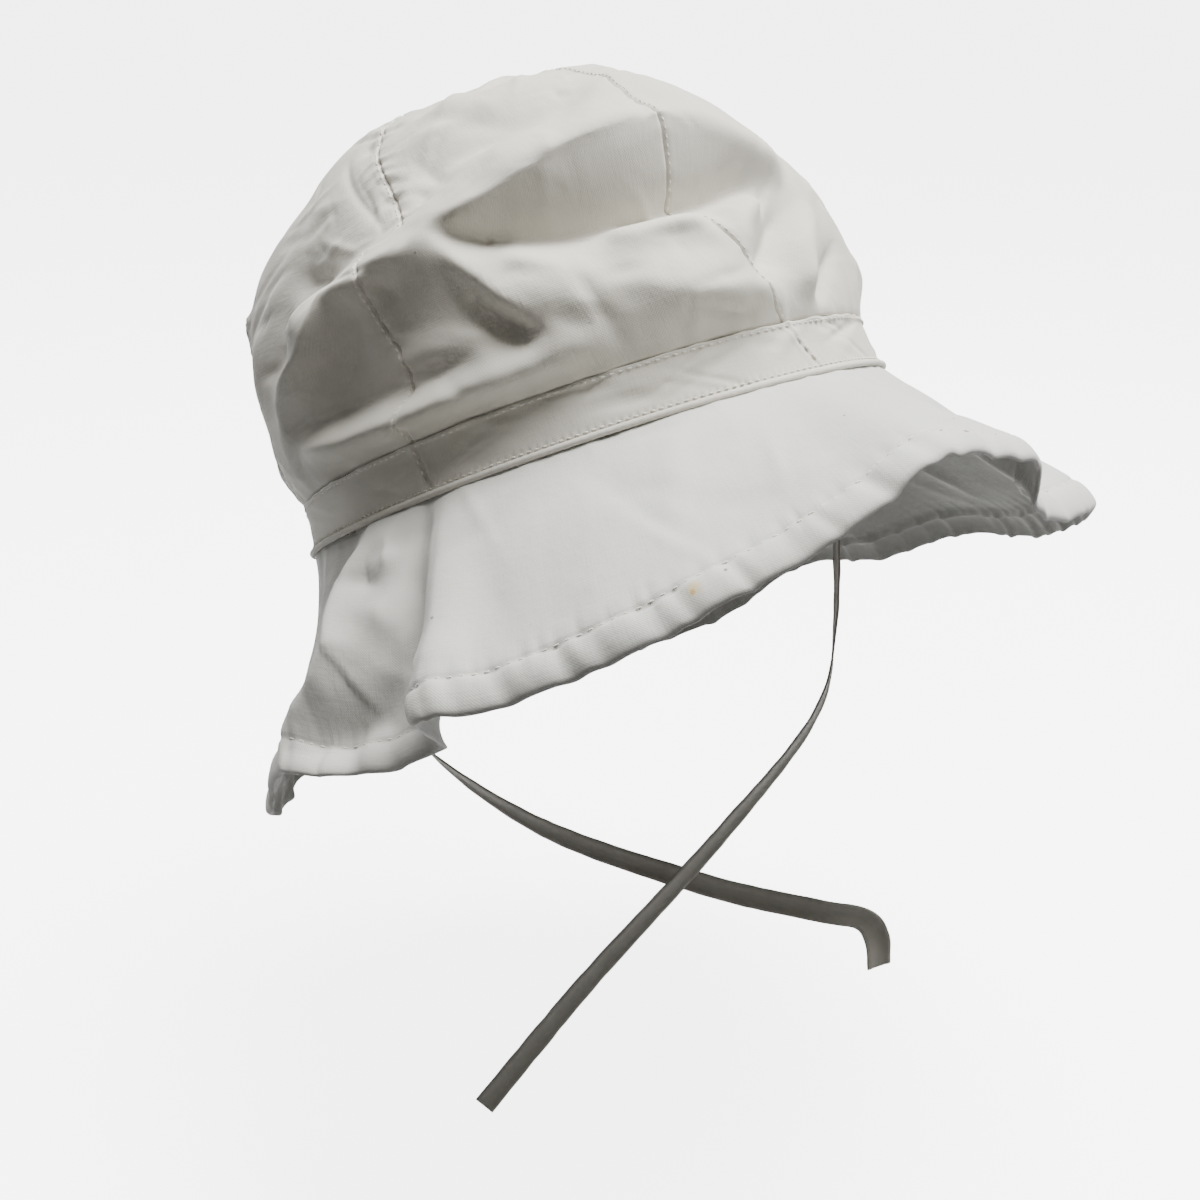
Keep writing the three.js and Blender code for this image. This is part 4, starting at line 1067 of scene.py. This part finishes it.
# The ties' cotton carries painted shade: its colours are darkened
tape_cotton_painted_shade = cotton("tape_cotton_painted_shade", TAPE_IN_PAINTED_SHADE, TAPE_BLOTCH_IN_PAINTED_SHADE)
seam_thread = thread("seam_thread", THREAD_COLOUR)


# Camera

def make_camera():
    a, e, r = (math.radians(x) for x in (CAMERA_AZIMUTH, CAMERA_ELEVATION, CAMERA_ROLL))
    back = Vector((math.sin(a) * math.cos(e), -math.cos(a) * math.cos(e), math.sin(e)))
    level = Vector((math.cos(a), math.sin(a), 0))
    above = back.cross(level)
    right = level * math.cos(r) + above * math.sin(r)
    up = back.cross(right)
    data = bpy.data.cameras.new("camera")
    data.lens = CAMERA_LENS
    data.sensor_width = SENSOR_WIDTH
    data.clip_start = CLOSEST
    camera = bpy.data.objects.new("camera", data)
    camera.matrix_world = Matrix.Translation(CAMERA_PLACE) @ Matrix((right, up, back)).transposed().to_4x4()
    bpy.context.scene.collection.objects.link(camera)
    bpy.context.scene.camera = camera


make_camera()


# Ties: flat woven tapes with a stitched fold along both edges

def tie_section():
    """Outline across a tape, along its face and back: how far to the side, and how far out."""
    half, thick = TIE_WIDTH / 2, TIE_CLOTH / 2
    left = [
        (-half, thick * 0.3),
        (-half + 0.0002, thick * 0.8),
        (-half + 0.0006, thick),
        (-half + EDGE_FOLD, thick),
        (-half + EDGE_FOLD + EDGE_STEP, thick * 0.45),
    ]
    right = [(-side, out) for side, out in reversed(left)]
    front = left + [(0, thick * 0.5)] + right
    back = [(side, -out) for side, out in reversed(front)]
    return np.array(front + back)


def tie_frames(name):
    """Centre line of a tape, with the directions across it and out of its face."""
    rows = np.array(TIES[name], float)
    line = catmull_line(rows[:, :3], TIE_STEPS)
    place = np.linspace(0, len(rows) - 1, len(line))
    facing = np.interp(place, np.arange(len(rows)), rows[:, 3])
    forward = unit(np.gradient(line, axis=0))
    face = on_ellipse(facing, 1, 1, 0.0)
    face = unit(face - (face * forward).sum(-1, keepdims=True) * forward)
    return line, np.cross(forward, face), face


def make_tie(name):
    """One tape, as a flat tube with closed ends."""
    line, wide, face = tie_frames(name)
    section = tie_section()
    distance = along(line)
    flutter = puckers(TIE_LENGTH, FLUTTER_SPACING, TIE_SEEDS[name])(distance)
    side, out = section[:, 0], section[:, 1]
    wave = FLUTTER * (flutter - 0.5)[:, None] * np.sin(side * math.pi / TIE_WIDTH)[None, :]
    points = line[:, None] + wide[:, None] * side[None, :, None] + face[:, None] * (out + wave)[..., None]
    around = along(np.vstack([section, section[:1]]))
    tape = grid_object(name + "_tape", points, around, distance, tape_cotton_painted_shade)
    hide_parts(name)


# Stitches: short arched lengths of thread

def stitch_object(name, sets, radius):
    """One mesh of sets of stitches, each from a start to an end point, standing out of the cloth."""
    starts, ends, outs = (np.vstack(column) for column in zip(*sets))
    share = np.linspace(0, 1, STITCH_RINGS)
    arch = np.sin(math.pi * share)
    swell = np.array([0.35, 0.9, 1.0, 0.9, 0.35])
    forward = unit(ends - starts)
    side = unit(np.cross(outs, forward))
    centre = starts[:, None] + (ends - starts)[:, None] * share[None, :, None]
    centre = centre + outs[:, None] * (radius * (STITCH_ARCH * arch - STITCH_SINK))[None, :, None]
    turn = np.arange(STITCH_SIDES) * math.tau / STITCH_SIDES
    ring = side[:, None] * np.cos(turn)[None, :, None] + outs[:, None] * np.sin(turn)[None, :, None]
    points = centre[:, :, None] + ring[:, None] * (radius * swell)[None, :, None, None]
    one, _, _ = grid_faces(STITCH_RINGS, STITCH_SIDES, ring=False)
    count = STITCH_RINGS * STITCH_SIDES
    last = count - STITCH_SIDES
    cap = np.array([[5, 4, 1, 0], [4, 3, 2, 1]])
    pattern = np.vstack([one, cap, cap[:, ::-1] + last])
    faces = (np.arange(len(starts)) * count)[:, None, None] + pattern[None]
    around = (pattern % STITCH_SIDES) / STITCH_SIDES
    down = (pattern // STITCH_SIDES) * 0.0004
    uvs = np.broadcast_to(np.stack([around, down], -1), (len(starts),) + pattern.shape + (2,))
    made = mesh_object(name, points.reshape(-1, 3), faces.reshape(-1, 4), uvs.reshape(-1, 2), seam_thread)


def stitches_along(line, outs, pitch, fill, closed=False):
    """Start, end and outward direction of stitches laid one after another along a line."""
    if closed:
        line, outs = np.vstack([line, line[:1]]), np.vstack([outs, outs[:1]])
    distance = along(line)
    count = int(distance[-1] / pitch)
    pitch = distance[-1] / count
    begin = (np.arange(count) + (1 - fill) / 2) * pitch

    def at(where, values):
        return np.stack([np.interp(where, distance, values[:, k]) for k in range(3)], -1)

    return at(begin, line), at(begin + fill * pitch, line), unit(at(begin + fill * pitch / 2, outs))


# Crown panels

seam_puckers = [puckers(SEAM_LENGTH, PUCKER_SPACING, SEAM_SEED + i) for i in range(PANELS)]
gathers = puckers(BAND_LENGTH, GATHER_SPACING, GATHER_SEED)


def seam_relief(seam, distance, rise):
    """Groove, allowance and puckers near a seam; distance is positive towards the wearer's left."""
    away = np.abs(distance)
    groove = -SEAM_GROOVE * hump(away, SEAM_GROOVE_WIDTH)
    on_side = np.where(np.sign(distance) == STITCHED_SIDE[seam], 1.0, 0.0)
    raised = ALLOWANCE_RAISE * on_side * (1 - smooth_step(away, ALLOWANCE * 0.75, ALLOWANCE * 1.25))
    stitched = -TOPSTITCH_DIP * on_side * hump(away - TOPSTITCH_OFFSET, TOPSTITCH_DIP_WIDTH)
    waves = seam_puckers[seam](rise + 0.3 * away) - 0.5
    pucker = PUCKER_DEPTH[seam] * waves * np.exp(-away / PUCKER_REACH)
    return groove + raised + stitched + pucker


def crown_relief(index, azimuth, rise, from_left, from_right):
    """All the fine relief of one panel: its two seams and the gathers over the band."""
    fine = seam_relief(index, from_left, rise) + seam_relief((index + 1) % PANELS, -from_right, rise)
    around = np.radians(azimuth) * HEAD_MEAN
    gathered = GATHER_DEPTH * (gathers(around) - 0.5) * hump(rise - GATHER_MIDDLE, GATHER_REACH)
    return fine + gathered


def panel_point(index, share, rise, gap=SEAM_GAP):
    """Point and normal of a panel's outer face, by share of its width and by rise."""
    radius, _ = section_at(rise)
    start, end = seam_azimuth(index, rise), seam_azimuth(index + 1, rise)
    clear = np.minimum(np.degrees(gap / radius), (end - start) / 8)
    start, end = start + clear, end - clear
    azimuth = start + (end - start) * share
    width = np.radians(end - start) * radius
    fine = crown_relief(index, azimuth, rise, share * width, (1 - share) * width)
    point = crown_surface(azimuth, rise)
    normal = normals_of(crown_surface, azimuth, rise, 0.6, 0.0008)
    return point + normal * fine[..., None], normal


def eased(count, crowding):
    """Shares from 0 to 1, closer together near both ends."""
    t = np.linspace(0, 1, count)
    return t - crowding * np.sin(math.tau * t) / math.tau


def crown_panel(index):
    """One panel of cloth; its edges are a hair apart outside and meet the next panel's inside."""
    shares = eased(PANEL_COLUMNS, 0.75)
    rises = np.linspace(0.0001, CROWN_RISE, PANEL_ROWS)
    share, rise = np.meshgrid(shares, rises)
    outer, _ = panel_point(index, share, rise)
    joined, normal = panel_point(index, share, rise, gap=0)
    inner = joined - normal * CLOTH
    points = tilted(np.concatenate([outer, inner[:, ::-1]], axis=1))
    u = index * PANEL_CLOTH_STEP + PANEL_WIDTH * np.concatenate([shares, 2 - shares[::-1], [2]])
    name = f"crown_panel_{index + 1}"
    panel = grid_object(name + "_cloth", points, u, rises, crown_cotton)
    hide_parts(name)


def crown_topstitches():
    """A row of stitches beside each seam."""
    sets = []
    for seam in range(PANELS):
        rise = np.linspace(0.001, CROWN_RISE * 0.97, 400)
        radius, _ = section_at(rise)
        side = STITCHED_SIDE[seam]
        offset = np.degrees(TOPSTITCH_OFFSET / radius) * side
        azimuth = seam_azimuth(seam, rise) + offset
        panel = seam if side > 0 else (seam - 1) % PANELS
        low, high = seam_azimuth(panel, rise), seam_azimuth(panel + 1, rise)
        share = (azimuth + (360 if side < 0 and seam == 0 else 0) - low) / (high - low)
        point, normal = panel_point(panel, share, rise)
        sets.append(stitches_along(tilted(point), tilted(normal), CROWN_PITCH, CROWN_FILL))
    stitch_object("crown_topstitches", sets, CROWN_THREAD)


# Band

ring_azimuths = np.linspace(0, 360, RING_COLUMNS, endpoint=False)
ring_cloth = np.radians(np.linspace(0, 360, RING_COLUMNS + 1)) * HEAD_MEAN


def band_wrinkle_sheet(around, height):
    """Short shallow wrinkles all round the band."""
    random = np.random.default_rng(BAND_SEED)
    sheet = np.zeros(np.broadcast(around, height).shape)
    half = BAND_LENGTH / 2
    for _ in range(BAND_WRINKLES[0]):
        x = (around - random.uniform(0, BAND_LENGTH) + half) % BAND_LENGTH - half
        y = height - random.uniform(0.002, BAND_HEIGHT - 0.001)
        sheet += wrinkle(random, x, y, random.uniform(-0.5, 0.5), BAND_WRINKLES, (-1, 0.6))
    return sheet


def band_seam(index, height):
    """Azimuth of a seam where it crosses the band."""
    top = SEAM_COURSES[0][index + 1]
    return top + (BAND_SEAM_FEET[index] - top) * (1 - height / BAND_HEIGHT)


def band_seams(azimuth, height):
    """Grooves and raised allowances of the band's seams."""
    sheet = 0
    for index in range(PANELS):
        away = np.radians(signed_turn(azimuth - band_seam(index, height))) * HEAD_MEAN
        groove = -BAND_GROOVE * hump(away, 0.0005)
        raised = BAND_ALLOWANCE * hump(np.abs(away) - 0.0012, 0.0009)
        sheet = sheet + groove + raised
    return sheet


def band_flare(height):
    """How far the band stands out from the head, most at the brim."""
    return BAND_FLARE * (1 - height / BAND_HEIGHT) ** 1.5


def band():
    """The band's cloth, with a ridge along its gathered upper edge and dips at its stitches."""
    heights = np.linspace(0.0002, BAND_HEIGHT, BAND_ROWS)
    azimuths, height = np.meshgrid(ring_azimuths, heights)
    around = np.radians(azimuths) * HEAD_MEAN
    gather = gathers(around) - 0.5
    ridge = RIDGE * hump(height - BAND_HEIGHT + RIDGE_DROP, RIDGE_WIDTH)
    roll = RIDGE_DROP * smooth_step(height, BAND_HEIGHT - 0.0016, BAND_HEIGHT) ** 2
    drawn = BAND_GATHER * gather * hump(height - BAND_HEIGHT, BAND_GATHER_REACH)
    dips = STITCH_DIP * np.cos(around * math.tau / BAND_PITCH) * hump(height - 0.0022, 0.0008)
    fine = band_wrinkle_sheet(around, height) + band_seams(azimuths, height)
    out = band_flare(height) + ridge - roll + fine + drawn + dips
    lifted = height + BAND_LIFT * gather * smooth_step(height, 0.010, BAND_HEIGHT)
    outer = on_band(azimuths, out, lifted)
    inner_heights = heights[::-3]
    azimuths, height = np.meshgrid(ring_azimuths, inner_heights)
    inner = on_band(azimuths, BAND_FLARE * (1 - height / BAND_HEIGHT) - BAND_CLOTH - 0.0002, height)
    points = tilted(np.concatenate([outer, inner], axis=0))
    v = np.concatenate([heights, 0.02 + inner_heights[0] - inner_heights, [0.04]])
    made = grid_object("band_cloth", points, ring_cloth, v, band_cotton, ring=True)
    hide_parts("hat_band")


def piping():
    """The thin corded fold between band and brim."""
    azimuths, turns = np.meshgrid(ring_azimuths, np.arange(PIPING_SIDES) * math.tau / PIPING_SIDES)
    around = np.radians(azimuths) * HEAD_MEAN
    thick = PIPING * (1 + PIPING_RIPPLE * np.cos(around * math.tau / BAND_PITCH))
    out = BAND_FLARE + PIPING_OUT + thick * np.cos(turns)
    points = tilted(on_band(azimuths, out, PIPING_HEIGHT + thick * np.sin(turns)))
    v = np.arange(PIPING_SIDES + 1) * math.tau * PIPING / PIPING_SIDES
    made = grid_object("band_piping", points, ring_cloth, v, band_cotton, ring=True)


def band_stitches():
    """Stitches along both edges of the band and beside its seams."""
    sets = []

    def lay(azimuth, out, height, pitch, fill, closed=False):
        line = on_band(azimuth, band_flare(height) + out, height)
        outs = unit(on_ellipse(azimuth, HEAD_HALF_LENGTH, HEAD_HALF_WIDTH, 0.0))
        sets.append(stitches_along(tilted(line), tilted(outs), pitch, fill, closed))

    azimuth = np.linspace(0, 360, 1440, endpoint=False)
    for height, pitch in ((0.0021, BAND_PITCH), (BAND_HEIGHT - 0.001, BAND_TOP_PITCH)):
        lay(azimuth, 0.0002, height, pitch, BAND_FILL, closed=True)
    height = np.linspace(0.0034, BAND_HEIGHT - 0.0012, 30)
    for index, side in enumerate(STITCHED_SIDE):
        beside = band_seam(index, height) + side * math.degrees(TOPSTITCH_OFFSET / HEAD_MEAN)
        lay(beside, 0.00025, height, BAND_SEAM_PITCH, SEAM_FILL)
    stitch_object("band_stitches", sets, BAND_THREAD)


# Brim

hem_azimuth = smooth_table(BRIM_FLUTES, 1, 360, turning=True)
hem_radius = smooth_table(BRIM_FLUTES, 2, 360)
hem_drop = smooth_table(BRIM_FLUTES, 3, 360)
brim_bell = smooth_table(BRIM_FLUTES, 4, 360)
hem_puckers = puckers(HEM_WAVES, HEM_PUCKER_SPACING, HEM_SEEDS[0])
hem_ripples = puckers(HEM_WAVES, HEM_RIPPLE_SPACING, HEM_SEEDS[1])


def plain_brim(azimuth, share):
    """A point of the brim by azimuth at the band and share of the way out to the hem."""
    azimuth, share = np.broadcast_arrays(np.asarray(azimuth, float), np.asarray(share, float))
    top = on_band(azimuth, BRIM_START, 0.0)
    turn = (azimuth - BRIM_FLUTES[0][0]) // 360 * 360
    radius = hem_radius(azimuth)
    hem = on_ellipse(hem_azimuth(azimuth) + turn, radius, radius, -hem_drop(azimuth))
    out = np.maximum(share, 0)[..., None] ** brim_bell(azimuth)[..., None]
    point = top + (hem - top) * out
    point[..., 2] = top[..., 2] + (hem[..., 2] - top[..., 2]) * share
    return point


def hem_distance(azimuth):
    """Distance along the hem, for what repeats along it."""
    return np.interp(np.asarray(azimuth) % 360, hem_turn, hem_length)


hem_turn = np.linspace(0, 360, 1441)
hem_length = along(plain_brim(hem_turn, 1.0))
HEM_LENGTH = hem_length[-1]


def brim_relief(azimuth, share):
    """Puffs of the hem between its stitches, puckers across it, and soft dents of the brim."""
    place = hem_distance(azimuth) / HEM_LENGTH * HEM_WAVES
    to_edge = (1 - share) * BRIM_SLANT
    in_hem = 1 - smooth_step(to_edge, HEM_WIDTH * 0.92, HEM_WIDTH * 1.04)
    puff = HEM_PUFF * in_hem * np.sin(np.clip(to_edge / HEM_WIDTH, 0, 1) * math.pi) ** 0.7
    dent = -HEM_DENT * in_hem * hem_puckers(place + 0.3 * to_edge)
    droop = -HEM_DROOP * in_hem * (1 - to_edge / HEM_WIDTH) ** 2
    groove = -HEM_GROOVE * hump(to_edge - HEM_WIDTH, HEM_GROOVE_WIDTH)
    drawn = -HEM_DRAWN * (hem_ripples(place) - 0.5) * hump(to_edge - HEM_WIDTH - 0.001, 0.004)
    gather = gathers(np.radians(azimuth) * HEAD_MEAN) - 0.5
    seam = BRIM_GATHER * gather * hump(share * BRIM_SLANT, BRIM_GATHER_REACH)
    folds = 0
    for width, points in BRIM_FOLDS.values():
        line = [(at, out * BRIM_SLANT, depth) for at, out, depth in points]
        distance, depth, _ = near_line(azimuth, share * BRIM_SLANT, BRIM_MEAN_RADIUS, line)
        folds = folds + depth * crease_shape(distance, width)
    return puff + dent + droop + groove + drawn + seam + folds + brim_wrinkles(azimuth, share)


def brim_wrinkles(azimuth, share):
    """Short shallow wrinkles all over the brim."""
    random = np.random.default_rng(BRIM_SEED)
    sheet = np.zeros(np.broadcast(azimuth, share).shape)
    for _ in range(BRIM_WRINKLES[0]):
        x = np.radians(signed_turn(azimuth - random.uniform(0, 360))) * BRIM_MEAN_RADIUS
        y = (share - random.uniform(0.05, 0.85)) * BRIM_SLANT
        sheet += wrinkle(random, x, y, random.normal(0.5, 0.9), BRIM_WRINKLES, (-1, 0.8))
    return sheet


def brim_point(azimuth, share):
    """Point and normal of the brim's upper face."""
    point = plain_brim(azimuth, share)
    normal = -normals_of(plain_brim, azimuth, share, 0.4, 0.006)
    normal = np.where(normal[..., 2:] < -0.2, -normal, normal)
    return point + normal * brim_relief(azimuth, share)[..., None], normal


def brim():
    """The brim's upper face, its rounded edge, and the face below with the hem turned under."""
    azimuth = ring_azimuths + BRIM_FLUTES[0][0]
    hem_start = 1 - HEM_SHARE
    shares = np.concatenate([
        np.linspace(0, hem_start - 0.02, BRIM_ROWS)[:-1],
        np.linspace(hem_start - 0.02, 1, HEM_ROWS),
    ])
    azimuths, share = np.meshgrid(azimuth, shares)
    outer, normal = brim_point(azimuths, share)
    edge, edge_normal = outer[-1], normal[-1]
    outward = unit(outer[-1] - outer[-3])
    half = HEM_CLOTH / 2
    rounds = []
    for turn in np.linspace(0, math.pi, 7)[1:-1]:
        down = edge_normal * half * (1 - math.cos(turn))
        rounds.append(edge - down + outward * half * math.sin(turn))
    inner_shares = np.concatenate([
        np.linspace(1, hem_start + 0.003, 9),
        np.linspace(hem_start - 0.012, 0, 22),
    ])
    azimuths, share = np.meshgrid(azimuth, inner_shares)
    face, normal = brim_point(azimuths, share)
    thick = np.where(share > hem_start, HEM_CLOTH, CLOTH)
    inner = face - normal * thick[..., None]
    points = tilted(np.concatenate([outer, np.array(rounds), inner], axis=0))
    u = np.linspace(0, BRIM_CLOTH_LENGTH, RING_COLUMNS + 1)
    round_length = HEM_CLOTH * 1.5
    v = np.concatenate([
        shares * BRIM_SLANT,
        BRIM_SLANT + np.linspace(0, round_length, 7)[1:-1],
        BRIM_SLANT + round_length + (1 - inner_shares) * BRIM_SLANT,
        [2 * BRIM_SLANT + 0.01],
    ])
    made = grid_object("brim_cloth", points, u, v, brim_cotton_painted_skylight, ring=True)
    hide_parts("brim")


def hem_stitches():
    """The hem's stitches, above and below the brim."""
    azimuth = np.linspace(0, 360, 2400, endpoint=False)
    above, normal = brim_point(azimuth, np.full_like(azimuth, 1 - HEM_SHARE))
    below = above - normal * (CLOTH + 0.0002)
    sets = []
    for line, outs in ((above, normal), (below, -normal)):
        sets.append(stitches_along(tilted(line), tilted(outs), HEM_PITCH, SEAM_FILL, closed=True))
    stitch_object("hem_stitches", sets, HEM_THREAD)


# Floor and light

def floor():
    """A wide plain floor, which throws no light back at the hat."""
    corners = ((-1, -1), (1, -1), (1, 1), (-1, 1))
    points = [(x * FLOOR_REACH, y * FLOOR_REACH, FLOOR_HEIGHT) for x, y in corners]
    mesh = bpy.data.meshes.new("floor")
    mesh.from_pydata(points, [], [(0, 1, 2, 3)])
    mesh.materials.append(floor_material())
    obj = bpy.data.objects.new("floor", mesh)
    bpy.context.scene.collection.objects.link(obj)
    obj.visible_diffuse = False


def area_light(name, place, size, power, colour):
    """A round lamp that looks at the hat."""
    data = bpy.data.lights.new(name, "AREA")
    data.shape = "DISK"
    data.size = size
    data.energy = power
    data.color = colour
    light = bpy.data.objects.new(name, data)
    light.location = place
    light.rotation_mode = "QUATERNION"
    light.rotation_quaternion = (Vector(LIGHT_AIM) - Vector(place)).to_track_quat("-Z", "Y")
    bpy.context.scene.collection.objects.link(light)


def studio():
    """Dim surroundings as light, a bright even backdrop as seen by the camera, and the lamps."""
    world = bpy.data.worlds.new("studio")
    bpy.context.scene.world = world
    world.use_nodes = True
    tree = world.node_tree
    soft = tree.nodes["Background"]
    soft.inputs["Color"].default_value = (1.0, 0.97, 0.92, 1)
    soft.inputs["Strength"].default_value = AMBIENT
    seen = tree.nodes.new("ShaderNodeBackground")
    seen.inputs["Color"].default_value = (1, 1, 1, 1)
    seen.inputs["Strength"].default_value = BACKDROP
    choice = tree.nodes.new("ShaderNodeMixShader")
    ray = tree.nodes.new("ShaderNodeLightPath")
    tree.links.new(ray.outputs["Is Camera Ray"], choice.inputs[0])
    tree.links.new(soft.outputs[0], choice.inputs[1])
    tree.links.new(seen.outputs[0], choice.inputs[2])
    tree.links.new(choice.outputs[0], tree.nodes["World Output"].inputs["Surface"])
    for row in LIGHTS:
        area_light(*row)


# The scene

for tie_name in TIES:
    make_tie(tie_name)
for panel_index in range(PANELS):
    crown_panel(panel_index)
crown_topstitches()
band()
piping()
band_stitches()
brim()
hem_stitches()
floor()
studio()
